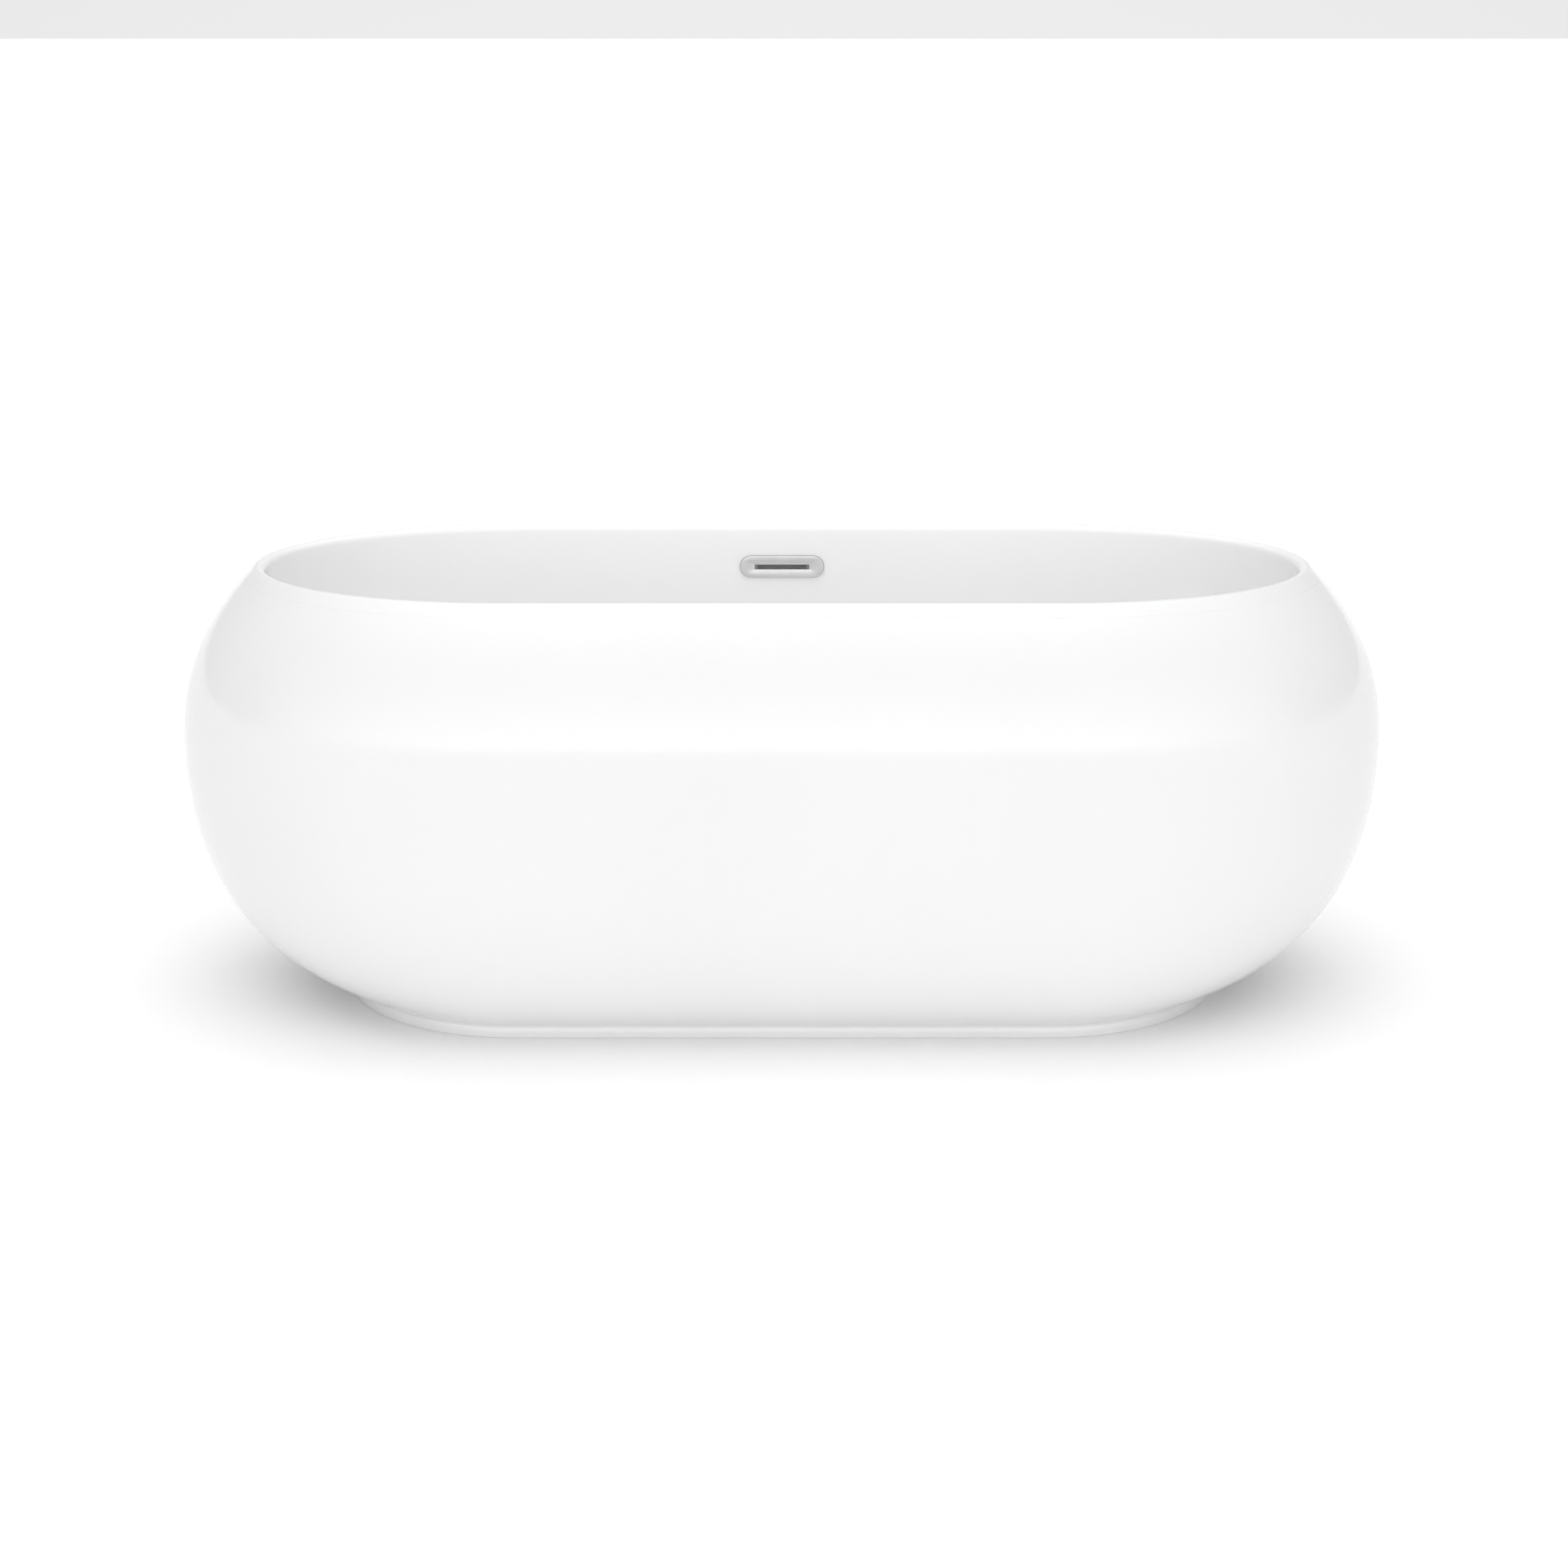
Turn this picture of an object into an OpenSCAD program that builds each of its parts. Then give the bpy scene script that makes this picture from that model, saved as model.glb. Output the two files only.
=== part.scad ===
// Freestanding double-ended bathtub: a moulded outer skirt and a moulded basin joined at the rim, on a
// steel frame with screw-adjusted feet, with a slotted overflow and a push-button drain.
// Millimetres, +Z up, +X along the tub, +Y towards the side that carries the overflow.
// The origin is on the floor, under the centre of the tub.

/* [Body] */
// Overall length, across the widest part of the belly
tub_length = 1700; // [1600:10:1800]
// Overall width, across the widest part of the belly
tub_width = 800; // [780:5:840]
// Height of the rim above the floor
tub_height = 610; // [590:5:630]
// Height of the widest part of the belly
belly_height = 365; // [340:5:385]
// Length of the straight stretch of each long side
straight_length = 730; // [680:10:770]

/* [Rim] */
// Length of the rim, from crest to crest
rim_length = 1472; // [1440:4:1500]
// Width of the rim, from crest to crest
rim_width = 620; // [600:2:640]
// Outer radius of the rolled crest
rim_radius = 10; // [8:0.5:12]
// Slope of the shoulder where it leaves the crest, in degrees below level
shoulder_slope = 47; // [42:1:52]

/* [Base] */
// Length of the plinth at the floor
base_length = 1256; // [1220:4:1300]
// Width of the plinth at the floor
base_width = 580; // [540:4:620]
// Height of the plinth, up to the crease under the belly
plinth_height = 18; // [14:1:24]

/* [Basin] */
// Height of the basin's floor at the drain
floor_height = 150; // [144:1:156]
// Rise of the basin's floor from the drain to its edge
floor_fall = 4; // [2:0.5:6]
// Length of the nearly flat floor
floor_length = 860; // [760:10:900]
// Width of the nearly flat floor
floor_width = 330; // [310:5:360]

/* [Shells] */
// Thickness of the outer skirt
skirt_wall = 5; // [4:0.5:6]
// Thickness of the basin's wall and lip
basin_wall = 5; // [4:0.5:6]
// Thickness of the adhesive between the lip and the skirt's tongue
bond_gap = 1; // [0.8:0.1:1.4]

/* [Overflow] */
// Depth of the overflow's centre below the rim
overflow_drop = 64; // [58:1:80]
// Length of the cover plate
cover_length = 127; // [120:1:140]
// Height of the cover plate
cover_height = 33; // [30:0.5:36]
// Length of the slot in the cover plate
slot_length = 82; // [60:1:84]
// Height of the slot in the cover plate
slot_height = 7; // [5:0.5:9]

/* [Drain] */
// Radius of the drain flange
flange_radius = 35; // [34:0.5:37]
// Radius of the waste pipe that leaves the tub
waste_radius = 19.05; // [18:0.05:20]
// Rise of the stopper when it is pushed open
stopper_travel = 10; // [6:0.5:10]

/* [Frame] */
// Width of the frame's steel tube
tube_width = 40; // [36:1:44]
// Height of the frame's steel tube
tube_height = 20; // [18:1:20]
// Wall of the frame's steel tube
tube_wall = 1.5; // [1.2:0.1:2]
// Distance of each foot from the tub's middle, along the tub
foot_x = 380; // [340:5:390]
// Distance of each foot from the tub's middle, across the tub
foot_y = 190; // [180:2:200]

/* [Hidden] */
$fn = 48;
FOOT_NAMES = ["front_left", "front_right", "rear_left", "rear_right"];

// ---- Lofted shells ----------------------------------------------------------------------------
// A station is one level outline of the tub: [half length, half width, height, half straight length].

quarter_steps = 14;                  // facets in a quarter of an outline

function bezier(p, t) =
    pow(1 - t, 3) * p[0] + 3 * pow(1 - t, 2) * t * p[1] + 3 * (1 - t) * t * t * p[2] + pow(t, 3) * p[3];

function bezier_slope(p, t) =
    3 * pow(1 - t, 2) * (p[1] - p[0]) + 6 * (1 - t) * t * (p[2] - p[1]) + 3 * t * t * (p[3] - p[2]);

// The parameter at which a falling curve of stations reaches a height.
function at_height(p, z, low = 0, high = 1, rounds = 24) =
    let (mid = (low + high) / 2)
    rounds == 0 ? mid
    : bezier(p, mid)[2] > z ? at_height(p, z, mid, high, rounds - 1)
    : at_height(p, z, low, mid, rounds - 1);

// A station of a downward curve, moved square to the surface by depth, towards the inside of the tub.
function inset(p, t, depth) =
    let (s = bezier(p, t), d = bezier_slope(p, t), end = norm([d[0], d[2]]), side = norm([d[1], d[2]]))
    [s[0] + depth * d[2] / end, s[1] + depth * d[2] / side,
     s[2] - depth * (d[0] / end + d[1] / side) / 2, s[3]];

function grow(station, by, z) = [station[0] + by, station[1] + by, z, station[3]];

function ring(station) = [
    for (side = [1, -1]) for (i = [-quarter_steps:quarter_steps])
    let (a = 90 * i / quarter_steps)
    [side * (station[3] + (station[0] - station[3]) * cos(a)),
     side * station[1] * sin(a), station[2]]
];

// Skins a list of rings. A closed list comes round to its first ring; an open one gets two flat ends.
module skin(rings, closed) {
    n = len(rings[0]);
    count = len(rings);
    bands = [
        for (j = [0:count - (closed ? 1 : 2)]) for (i = [0:n - 1])
        let (a = j * n, b = ((j + 1) % count) * n, k = (i + 1) % n)
        each [[a + i, a + k, b + k], [a + i, b + k, b + i]]
    ];
    ends = closed ? [] : [[for (i = [n - 1:-1:0]) i], [for (i = [0:n - 1]) (count - 1) * n + i]];
    polyhedron([for (r = rings) each r], concat(bands, ends));
}

module loft(stations, closed) {
    skin([for (s = stations) ring(s)], closed);
}

// ---- The tub's curves -------------------------------------------------------------------------

half_straight = straight_length / 2;
crest_z = tub_height - rim_radius;   // centre of the rolled crest
crest = [rim_length / 2, rim_width / 2, crest_z, half_straight];
belly = [tub_length / 2, tub_width / 2, belly_height, half_straight];
base = [base_length / 2, base_width / 2, plinth_height, half_straight];

function roll(radius, a) =
    [crest[0] + radius * cos(a), crest[1] + radius * cos(a), crest_z + radius * sin(a), half_straight];

// Shoulder: from the crest's outside down to the belly.
roll_end = 90 - shoulder_slope;
shoulder_reach = 82;
shoulder_start = roll(rim_radius, roll_end);
shoulder = [
    shoulder_start,
    shoulder_start + shoulder_reach * [cos(shoulder_slope), cos(shoulder_slope), -sin(shoulder_slope), 0],
    belly + [0, 0, 0.47 * (crest_z - belly_height), 0],
    belly
];

// Underbelly: from the belly down to the crease above the plinth.
underbelly = [
    belly,
    belly - [0, 0, 0.87 * (belly_height - plinth_height), 0],
    base + [22, 14, 12, 0],
    base
];

// Basin: from the crest's inside down to the edge of the floor, and its outer face round the same wall.
floor_edge = [floor_length / 2, floor_width / 2, floor_height + floor_fall, 255];
floor_underside = floor_height - 8;
wall_top = roll(rim_radius, 180);
basin_inside = [
    wall_top,
    grow(wall_top, -4, crest_z - 190),
    floor_edge + [115, 90, 0, 20],
    floor_edge
];
wall_growth = [basin_wall, basin_wall, 2 * basin_wall, basin_wall];
wall_drop = [0, 0, floor_edge[2] - floor_underside, floor_edge[2] - floor_underside];
basin_outside = [
    for (i = [0:3]) grow(basin_inside[i], wall_growth[i], basin_inside[i][2] - wall_drop[i])
];
drain_ring = [40, 40, floor_height, 8];

// The lip covers the shoulder from the crest to the seam, and the skirt's tongue runs up behind it.
seam = 0.07;
seam_gap = 0.0015;
tongue_top = 0.02;
tongue_face = basin_wall + bond_gap;
tongue_wall = 4;

// ---- Shells -----------------------------------------------------------------------------------

module outer_skirt() {
    edge = 1.5;                      // rounding of the plinth's foot
    flange = 26;                     // reach of the turned-in foot, from the crease
    color("white") loft(concat(
        [for (t = [0:0.1:1]) inset(shoulder, seam + seam_gap + t * (1 - seam - seam_gap), 0)],
        [for (t = [0.08:0.08:0.96]) bezier(underbelly, t)],
        [base,
         grow(base, -2, plinth_height - 2.5),
         grow(base, 0, 7),
         grow(base, 0, edge),
         grow(base, -edge, 0),
         grow(base, -flange, 0),
         grow(base, -flange, skirt_wall),
         grow(base, -skirt_wall - 3, skirt_wall),
         grow(base, -skirt_wall - 3, plinth_height + 2)],
        [for (t = [0.96:-0.12:0.12]) inset(underbelly, t, skirt_wall)],
        [for (t = [1:-0.16:0.2]) inset(shoulder, t, skirt_wall)],
        [inset(shoulder, seam + 0.05, skirt_wall),
         inset(shoulder, seam, tongue_face + tongue_wall),
         inset(shoulder, tongue_top, tongue_face + tongue_wall),
         inset(shoulder, tongue_top, tongue_face),
         inset(shoulder, seam + seam_gap, tongue_face)]
    ), true);
}

module rim_bond() {
    slack = 0.04;                    // hairline left on each face of the adhesive
    color("gainsboro") loft([
        inset(shoulder, tongue_top, basin_wall + slack),
        inset(shoulder, seam, basin_wall + slack),
        inset(shoulder, seam, tongue_face - slack),
        inset(shoulder, tongue_top, tongue_face - slack)
    ], true);
}

module basin_shell() {
    loft(concat(
        [drain_ring],
        [for (t = [1:-0.0625:0.0625]) bezier(basin_inside, t)],
        [for (a = [180:-22.5:roll_end + 12]) roll(rim_radius, a)],
        [shoulder_start, bezier(shoulder, seam)],
        [for (t = [seam, tongue_top, 0]) inset(shoulder, t, basin_wall)],
        [for (a = [90:45:135]) roll(rim_radius - basin_wall, a)],
        [for (t = [0:0.1:1]) bezier(basin_outside, t)],
        [grow(drain_ring, 0, floor_underside)]
    ), false);
}

module inner_basin() {
    color("white") difference() {
        basin_shell();
        drain_hole();
        on_wall() overflow_cutout();
    }
}

// ---- Drain ------------------------------------------------------------------------------------

seat_z = floor_height - 4;           // bottom of the recess that holds the flange
recess_radius = flange_radius + 2;
flange_z = seat_z + 2;               // underside of the flange, on its gasket
flange_thickness = 3;
flange_top = flange_z + flange_thickness;
barrel_radius = 24;
hole_radius = barrel_radius + 1.5;   // hole in the basin's floor
barrel_bore = 20;
barrel_bottom = floor_height - 42;
funnel_radius = 27;                  // mouth of the cone that the stopper closes on
funnel_height = 4;
funnel_z = flange_top - funnel_height;
hub_z = floor_height - 30;           // top of the spider that carries the stopper's cartridge
nut_clear = 0.05;                    // radial clearance of a thread drawn as a plain cylinder

module ring_part(outer, inner, z, height) {
    translate([0, 0, z]) difference() {
        cylinder(r = outer, h = height);
        translate([0, 0, -1]) cylinder(r = inner, h = height + 2);
    }
}

module drain_hole() {
    translate([0, 0, seat_z]) cylinder(r = recess_radius, h = 20);
    translate([0, 0, floor_underside - 5]) cylinder(r = hole_radius, h = 20);
}

module drain_flange() {
    spider_height = 4;
    hub_radius = 9;
    leg_width = 3;
    edge = 1;                        // bevel round the flange's top
    color("silver") {
        difference() {
            union() {
                translate([0, 0, flange_z]) cylinder(r = flange_radius, h = flange_thickness - edge);
                translate([0, 0, flange_top - edge])
                    cylinder(r1 = flange_radius, r2 = flange_radius - edge, h = edge);
                translate([0, 0, barrel_bottom])
                    cylinder(r = barrel_radius, h = flange_z - barrel_bottom + 1);
            }
            translate([0, 0, barrel_bottom - 1])
                cylinder(r = barrel_bore, h = flange_top - barrel_bottom + 2);
            translate([0, 0, funnel_z])
                cylinder(r1 = barrel_bore, r2 = funnel_radius, h = funnel_height + 0.01);
        }
        difference() {
            union() {
                translate([0, 0, hub_z - spider_height]) cylinder(r = hub_radius, h = spider_height);
                for (a = [0, 90]) rotate([0, 0, a])
                    translate([-barrel_bore - 1, -leg_width / 2, hub_z - spider_height])
                        cube([2 * barrel_bore + 2, leg_width, spider_height]);
            }
            translate([0, 0, hub_z - spider_height - 1])
                cylinder(r = cartridge_radius + nut_clear, h = spider_height + 2);
        }
    }
}

ring_bore = barrel_radius + 0.5;     // bore of the gaskets and the washer on the barrel
ring_radius = 36;
gasket_height = 4;
washer_height = 1.5;
gasket_z = floor_underside - gasket_height;
washer_z = gasket_z - washer_height;
lock_nut_height = 10;

module drain_gasket_top() {
    color("dimgray") ring_part(flange_radius - 1, ring_bore, seat_z, flange_z - seat_z);
}

module drain_gasket_bottom() {
    color("dimgray") ring_part(ring_radius, ring_bore, gasket_z, gasket_height);
}

module drain_washer() {
    color("ivory") ring_part(ring_radius, ring_bore, washer_z, washer_height);
}

module drain_lock_nut() {
    nut_radius = 30;
    lugs = 6;
    lug_width = 8;
    lug_end = 35;
    color("goldenrod") difference() {
        union() {
            translate([0, 0, washer_z - lock_nut_height]) cylinder(r = nut_radius, h = lock_nut_height);
            for (i = [0:lugs - 1]) rotate([0, 0, i * 360 / lugs])
                translate([nut_radius - 2, -lug_width / 2, washer_z - lock_nut_height])
                    cube([lug_end - nut_radius + 2, lug_width, lock_nut_height]);
        }
        translate([0, 0, washer_z - lock_nut_height - 1])
            cylinder(r = barrel_radius + nut_clear, h = lock_nut_height + 2);
    }
}

// ---- Stopper ----------------------------------------------------------------------------------

cartridge_radius = 6;
cartridge_top = hub_z + 14;
cartridge_bottom = hub_z - 22;
cartridge_nut = 8.5;                 // half the width across corners of the nut on the spider
cartridge_bore = 4.6;
stem_radius = 2.8;
piston_radius = cartridge_bore - 0.2;
stub_radius = 4;                     // end of the stem that is fixed in the cap's boss
cap_z = flange_top + 0.4;            // underside of the cap's rim, with the drain shut
cap_radius = 31;
boss_drop = 3.2;                     // depth of the boss under the cap
seal_wire = 1.75;
seal_clear = 0.1;                    // gap between the closed seal and the flange's cone
seal_z = cap_z - seal_wire - 0.05;
// The radius at which a ring of the seal's thickness sits just off the cone.
cone_run = funnel_radius - barrel_bore;
cone_side = sqrt(cone_run * cone_run + funnel_height * funnel_height);
seal_radius = barrel_bore
    + ((seal_z - funnel_z) * cone_run - (seal_wire + seal_clear) * cone_side) / funnel_height;
boss_radius = seal_radius - 1;
spring_bottom = cartridge_bottom + 2;
piston_height = 3;
cartridge_lip = 3;                   // thickness of the cartridge's top, which stops the piston
stem_bottom = cartridge_top - cartridge_lip - piston_height - stopper_travel - 2;

module stopper_cartridge() {
    color("silver") difference() {
        union() {
            translate([0, 0, cartridge_bottom])
                cylinder(r = cartridge_radius, h = cartridge_top - cartridge_bottom);
            translate([0, 0, hub_z]) cylinder(r = cartridge_nut, h = 3, $fn = 6);
        }
        translate([0, 0, spring_bottom])
            cylinder(r = cartridge_bore, h = cartridge_top - spring_bottom - cartridge_lip);
        translate([0, 0, spring_bottom]) cylinder(r = stem_radius + 0.08, h = cartridge_top);
    }
}

// The outline of the spring's wire, at one place along its coil.
function wire_ring(a, rise, coil, wire, sides) = [
    for (k = [0:sides - 1])
    let (b = 360 * k / sides, r = coil + wire * cos(b))
    [r * cos(a), r * sin(a), rise + wire * sin(b)]
];

module stopper_spring() {
    coil = 3.7;
    wire = 0.4;
    turns = 5;
    sides = 6;
    steps = 12 * turns;
    low = spring_bottom + wire + 0.1;
    height = stem_bottom - wire - 0.1 - low;
    color("silver") skin([
        for (i = [0:steps]) wire_ring(360 * turns * i / steps, low + height * i / steps, coil, wire, sides)
    ], false);
}

module stopper_cap() {
    dome = 5.6;                      // height of the cap's dome
    groove_clear = 0.04;
    dome_radius = (cap_radius * cap_radius + dome * dome) / (2 * dome);
    color("silver") difference() {
        union() {
            translate([0, 0, cap_z]) intersection() {
                translate([0, 0, dome - dome_radius]) sphere(r = dome_radius, $fn = 128);
                cylinder(r = cap_radius, h = dome + 1);
            }
            translate([0, 0, cap_z - boss_drop]) cylinder(r = boss_radius, h = boss_drop + 1);
        }
        translate([0, 0, cap_z - boss_drop - 1]) cylinder(r = stub_radius + nut_clear, h = boss_drop + 2);
        translate([0, 0, seal_z]) rotate_extrude()
            translate([seal_radius, 0]) circle(r = seal_wire + groove_clear);
    }
}

module stopper_seal() {
    color("black") translate([0, 0, seal_z]) rotate_extrude()
        translate([seal_radius, 0]) circle(r = seal_wire);
}

module stopper_stem() {
    color("silver") {
        translate([0, 0, stem_bottom]) cylinder(r = piston_radius, h = piston_height);
        translate([0, 0, stem_bottom]) cylinder(r = stem_radius, h = cap_z - boss_drop - stem_bottom + 0.5);
        translate([0, 0, cap_z - boss_drop]) cylinder(r = stub_radius, h = boss_drop + 0.8);
    }
}

// ---- Waste ------------------------------------------------------------------------------------

port_z = 68;                         // height of the overflow hose where it joins the tee
port_end = 62;                       // end of the tee's spigot, from the drain's axis
hose_bore = 15;
hose_radius = 17;
spigot_radius = hose_bore - 0.15;
spigot_bore = 12.5;
spigot_length = 22;
tee_radius = 26;
tee_top = barrel_bottom + 13;
tee_bottom = 42;
tail_bottom = 6;
tail_step = 34;                      // where the bare outlet ends and the nut's length begins
tail_top = 60;
tail_wall = 1.6;
tail_radius = waste_radius - 0.5;    // radius of the length inside the nut and the tee
tail_bore = waste_radius - 0.4;      // bore of the nut, its washer and the tee's neck
tee_bore = 18;
nut_floor = 3;                       // thickness of the nut's end, and of the washer above it

module waste_tee() {
    color("dimgray") difference() {
        union() {
            translate([0, 0, tee_bottom]) cylinder(r = tee_radius, h = tee_top - tee_bottom);
            translate([0, 0, port_z]) rotate([-90, 0, 0]) cylinder(r = spigot_radius, h = port_end);
            translate([0, 0, port_z]) rotate([-90, 0, 0])
                cylinder(r = hose_radius, h = port_end - spigot_length);
        }
        translate([0, 0, barrel_bottom - 2]) cylinder(r = barrel_radius + nut_clear, h = 40);
        translate([0, 0, tail_top + 1]) cylinder(r = tee_bore, h = barrel_bottom - tail_top);
        translate([0, 0, tee_bottom - 1]) cylinder(r = tail_bore, h = tail_top - tee_bottom + 3);
        translate([0, 0, port_z]) rotate([-90, 0, 0]) cylinder(r = spigot_bore, h = port_end + 1);
    }
}

module tailpiece() {
    color("silver") difference() {
        union() {
            translate([0, 0, tail_bottom]) cylinder(r = waste_radius, h = tail_step - tail_bottom);
            translate([0, 0, tail_step]) cylinder(r = tail_radius, h = tail_top - tail_step);
        }
        translate([0, 0, tail_bottom - 1]) cylinder(r = waste_radius - tail_wall, h = 80);
    }
}

module tailpiece_washer() {
    color("ivory") ring_part(tee_radius - 0.5, tail_bore, tee_bottom - nut_floor, nut_floor);
}

module tailpiece_nut() {
    height = 14;
    nut_radius = tee_radius + 4;
    rib = [2.5, 4, height];
    nut_bottom = tee_bottom - 2 * nut_floor;
    color("dimgray") difference() {
        union() {
            translate([0, 0, nut_bottom]) cylinder(r = nut_radius, h = height);
            for (a = [0:30:330]) rotate([0, 0, a])
                translate([nut_radius - 1, -rib[1] / 2, nut_bottom]) cube(rib);
        }
        translate([0, 0, nut_bottom - 1]) cylinder(r = tail_bore, h = height + 2);
        translate([0, 0, nut_bottom + nut_floor]) cylinder(r = tee_radius + nut_clear, h = height);
    }
}

// ---- Overflow ---------------------------------------------------------------------------------
// Its own frame lies on the rear wall: +Y into the wall, +Z up along it.

overflow_t = at_height(basin_inside, tub_height - overflow_drop);
overflow_at = bezier(basin_inside, overflow_t);
overflow_run = bezier_slope(basin_inside, overflow_t);
wall_lean = atan2(overflow_run[1], overflow_run[2]) + 180;
front_seat = 0.8;                    // depth of the flat seat for the cover
rear_seat = basin_wall - 0.6;
front_face = -4;
gasket_front = -0.7;                 // face of the front gasket, against the cover
gasket_rear = rear_seat + 3;
body_flange = gasket_rear + 3;
body_depth = 44;
outlet_y = 29;
outlet_z = -36;                      // where the spigot leaves the outlet's shoulder
screw_x = 50;
screw_shank = 2;
opening_length = 112;
opening_height = 20;

module on_wall() {
    translate([0, overflow_at[1], overflow_at[2]]) rotate([-wall_lean, 0, 0]) children();
}

module slot_shape(length, height) {
    reach = (length - height) / 2;
    square([2 * reach, height], center = true);
    for (side = [-1, 1]) translate([side * reach, 0]) circle(d = height);
}

// A pill-shaped block that lies on the wall, from depth y0 to depth y1.
module pill(length, height, y0, y1) {
    translate([0, y1, 0]) rotate([90, 0, 0]) linear_extrude(y1 - y0) slot_shape(length, height);
}

module overflow_cutout() {
    pill(cover_length + 1, cover_height + 1, -10, front_seat);
    pill(opening_length, opening_height, -10, 20);
    pill(cover_length + 10, cover_height + 10, rear_seat, rear_seat + 10);
}

module overflow_cover() {
    bevel = 1;
    boss_radius = 4;
    color("lightgray") on_wall() difference() {
        union() {
            pill(cover_length, cover_height, front_face + bevel, gasket_front);
            pill(cover_length - 2 * bevel, cover_height - 2 * bevel, front_face, gasket_front);
            for (x = [-screw_x, screw_x]) translate([x, gasket_front - 0.5, 0])
                rotate([-90, 0, 0]) cylinder(r = boss_radius, h = gasket_rear - gasket_front + 0.5);
        }
        translate([-slot_length / 2, front_face - 1, -slot_height / 2]) cube([slot_length, 8, slot_height]);
        for (x = [-screw_x, screw_x]) translate([x, gasket_front + 1, 0])
            rotate([-90, 0, 0]) cylinder(r = screw_shank + nut_clear, h = 20);
    }
}

module overflow_gasket_front() {
    color("dimgray") on_wall() difference() {
        pill(cover_length, cover_height, gasket_front, front_seat);
        pill(opening_length, opening_height, gasket_front - 1, front_seat + 1);
    }
}

module overflow_gasket_rear() {
    color("dimgray") on_wall() difference() {
        pill(cover_length + 6, cover_height + 6, rear_seat, gasket_rear);
        pill(opening_length, opening_height, rear_seat - 1, gasket_rear + 1);
    }
}

module overflow_body() {
    wall = 2.5;
    box_length = 80;
    box_height = opening_height + 4;
    ear_clear = 2.3;
    color("dimgray") on_wall() difference() {
        union() {
            pill(cover_length + 6, cover_height + 6, gasket_rear, body_flange);
            translate([-box_length / 2, gasket_rear + 1, -box_height / 2])
                cube([box_length, body_depth - gasket_rear - 1, box_height]);
            translate([0, outlet_y, outlet_z]) cylinder(r = hose_radius, h = -outlet_z - box_height / 2 + 1);
            translate([0, outlet_y, outlet_z - spigot_length])
                cylinder(r = spigot_radius, h = spigot_length + 1);
        }
        translate([wall - box_length / 2, gasket_rear - 1, -box_height / 2 + wall])
            cube([box_length - 2 * wall, body_depth - gasket_rear + 1 - wall, box_height - 2 * wall]);
        translate([0, outlet_y, outlet_z - spigot_length - 1]) cylinder(r = spigot_bore, h = 60);
        for (x = [-screw_x, screw_x]) translate([x, gasket_rear - 1, 0])
            rotate([-90, 0, 0]) cylinder(r = ear_clear, h = body_flange - gasket_rear + 2);
    }
}

module overflow_screws() {
    head_radius = 3.8;
    head = 2.6;
    shank = body_flange - gasket_front - 1.6;
    color("silver") on_wall() for (x = [-screw_x, screw_x]) translate([x, body_flange, 0]) {
        rotate([-90, 0, 0]) cylinder(r = head_radius, h = head);
        rotate([90, 0, 0]) cylinder(r = screw_shank, h = shank);
    }
}

// The hose leaves the overflow along the wall, turns level in one bend and runs to the tee.
bend_radius = 90;
hose_start = [
    overflow_at[1] + outlet_y * cos(wall_lean) + outlet_z * sin(wall_lean),
    overflow_at[2] - outlet_y * sin(wall_lean) + outlet_z * cos(wall_lean)
];
bend_start_z = port_z + bend_radius * (1 - sin(wall_lean));
hose_drop = (hose_start[1] - bend_start_z) / cos(wall_lean);
bend_start_y = hose_start[0] - hose_drop * sin(wall_lean);
bend_centre = [0, bend_start_y - bend_radius * cos(wall_lean), port_z + bend_radius];
hose_end_y = port_end - spigot_length;

hose_sides = 24;

// Places along the hose's middle, from top to bottom: [y, z, degrees turned from straight down].
hose_line = [
    [hose_start[0], hose_start[1], wall_lean],
    for (a = [wall_lean:(90 - wall_lean) / 10:90.001])
        [bend_centre[1] + bend_radius * cos(a), bend_centre[2] - bend_radius * sin(a), a],
    [hose_end_y, port_z, 90]
];

function hose_ring(place, radius) = [
    for (k = [0:hose_sides - 1])
    let (b = 360 * k / hose_sides, across = radius * sin(b))
    [radius * cos(b), place[0] + across * cos(place[2]), place[1] - across * sin(place[2])]
];

module overflow_hose() {
    last = len(hose_line) - 1;
    color("whitesmoke") skin(concat(
        [for (place = hose_line) hose_ring(place, hose_radius)],
        [for (i = [last:-1:0]) hose_ring(hose_line[i], hose_bore)]
    ), true);
}

module hose_clamp() {
    width = 10;
    band = 1.2;
    difference() {
        union() {
            cylinder(r = hose_radius + band, h = width);
            translate([hose_radius - 2, -5, 0]) cube([9, 10, width]);
        }
        translate([0, 0, -1]) cylinder(r = hose_radius + nut_clear, h = width + 2);
    }
    translate([hose_radius + 5, -9, width / 2]) rotate([-90, 0, 0]) cylinder(r = 3.2, h = 4, $fn = 6);
}

module hose_clamps() {
    inset_from_end = 16;
    color("silver") {
        on_wall() translate([0, outlet_y, outlet_z - inset_from_end]) hose_clamp();
        translate([0, hose_end_y + inset_from_end, port_z]) rotate([90, 0, 0]) hose_clamp();
    }
}

// ---- Frame ------------------------------------------------------------------------------------

board_thickness = 16;
board_z = floor_underside - board_thickness;
rail_z = board_z - tube_height;
bar_z = rail_z - tube_height;
rail_length = 880;
rail_y = 110;
outer_bar_length = 420;
mid_bar_length = 260;
mid_bar_x = 150;
screw_radius = 3;
board_bite = 12;                     // depth of each coach screw in the board

// Every place where a rail crosses a bar.
crossings = [for (x = [-foot_x, -mid_bar_x, mid_bar_x, foot_x]) for (y = [-rail_y, rail_y]) [x, y]];
feet = [for (y = [-foot_y, foot_y]) for (x = [-foot_x, foot_x]) [x, y]];

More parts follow.
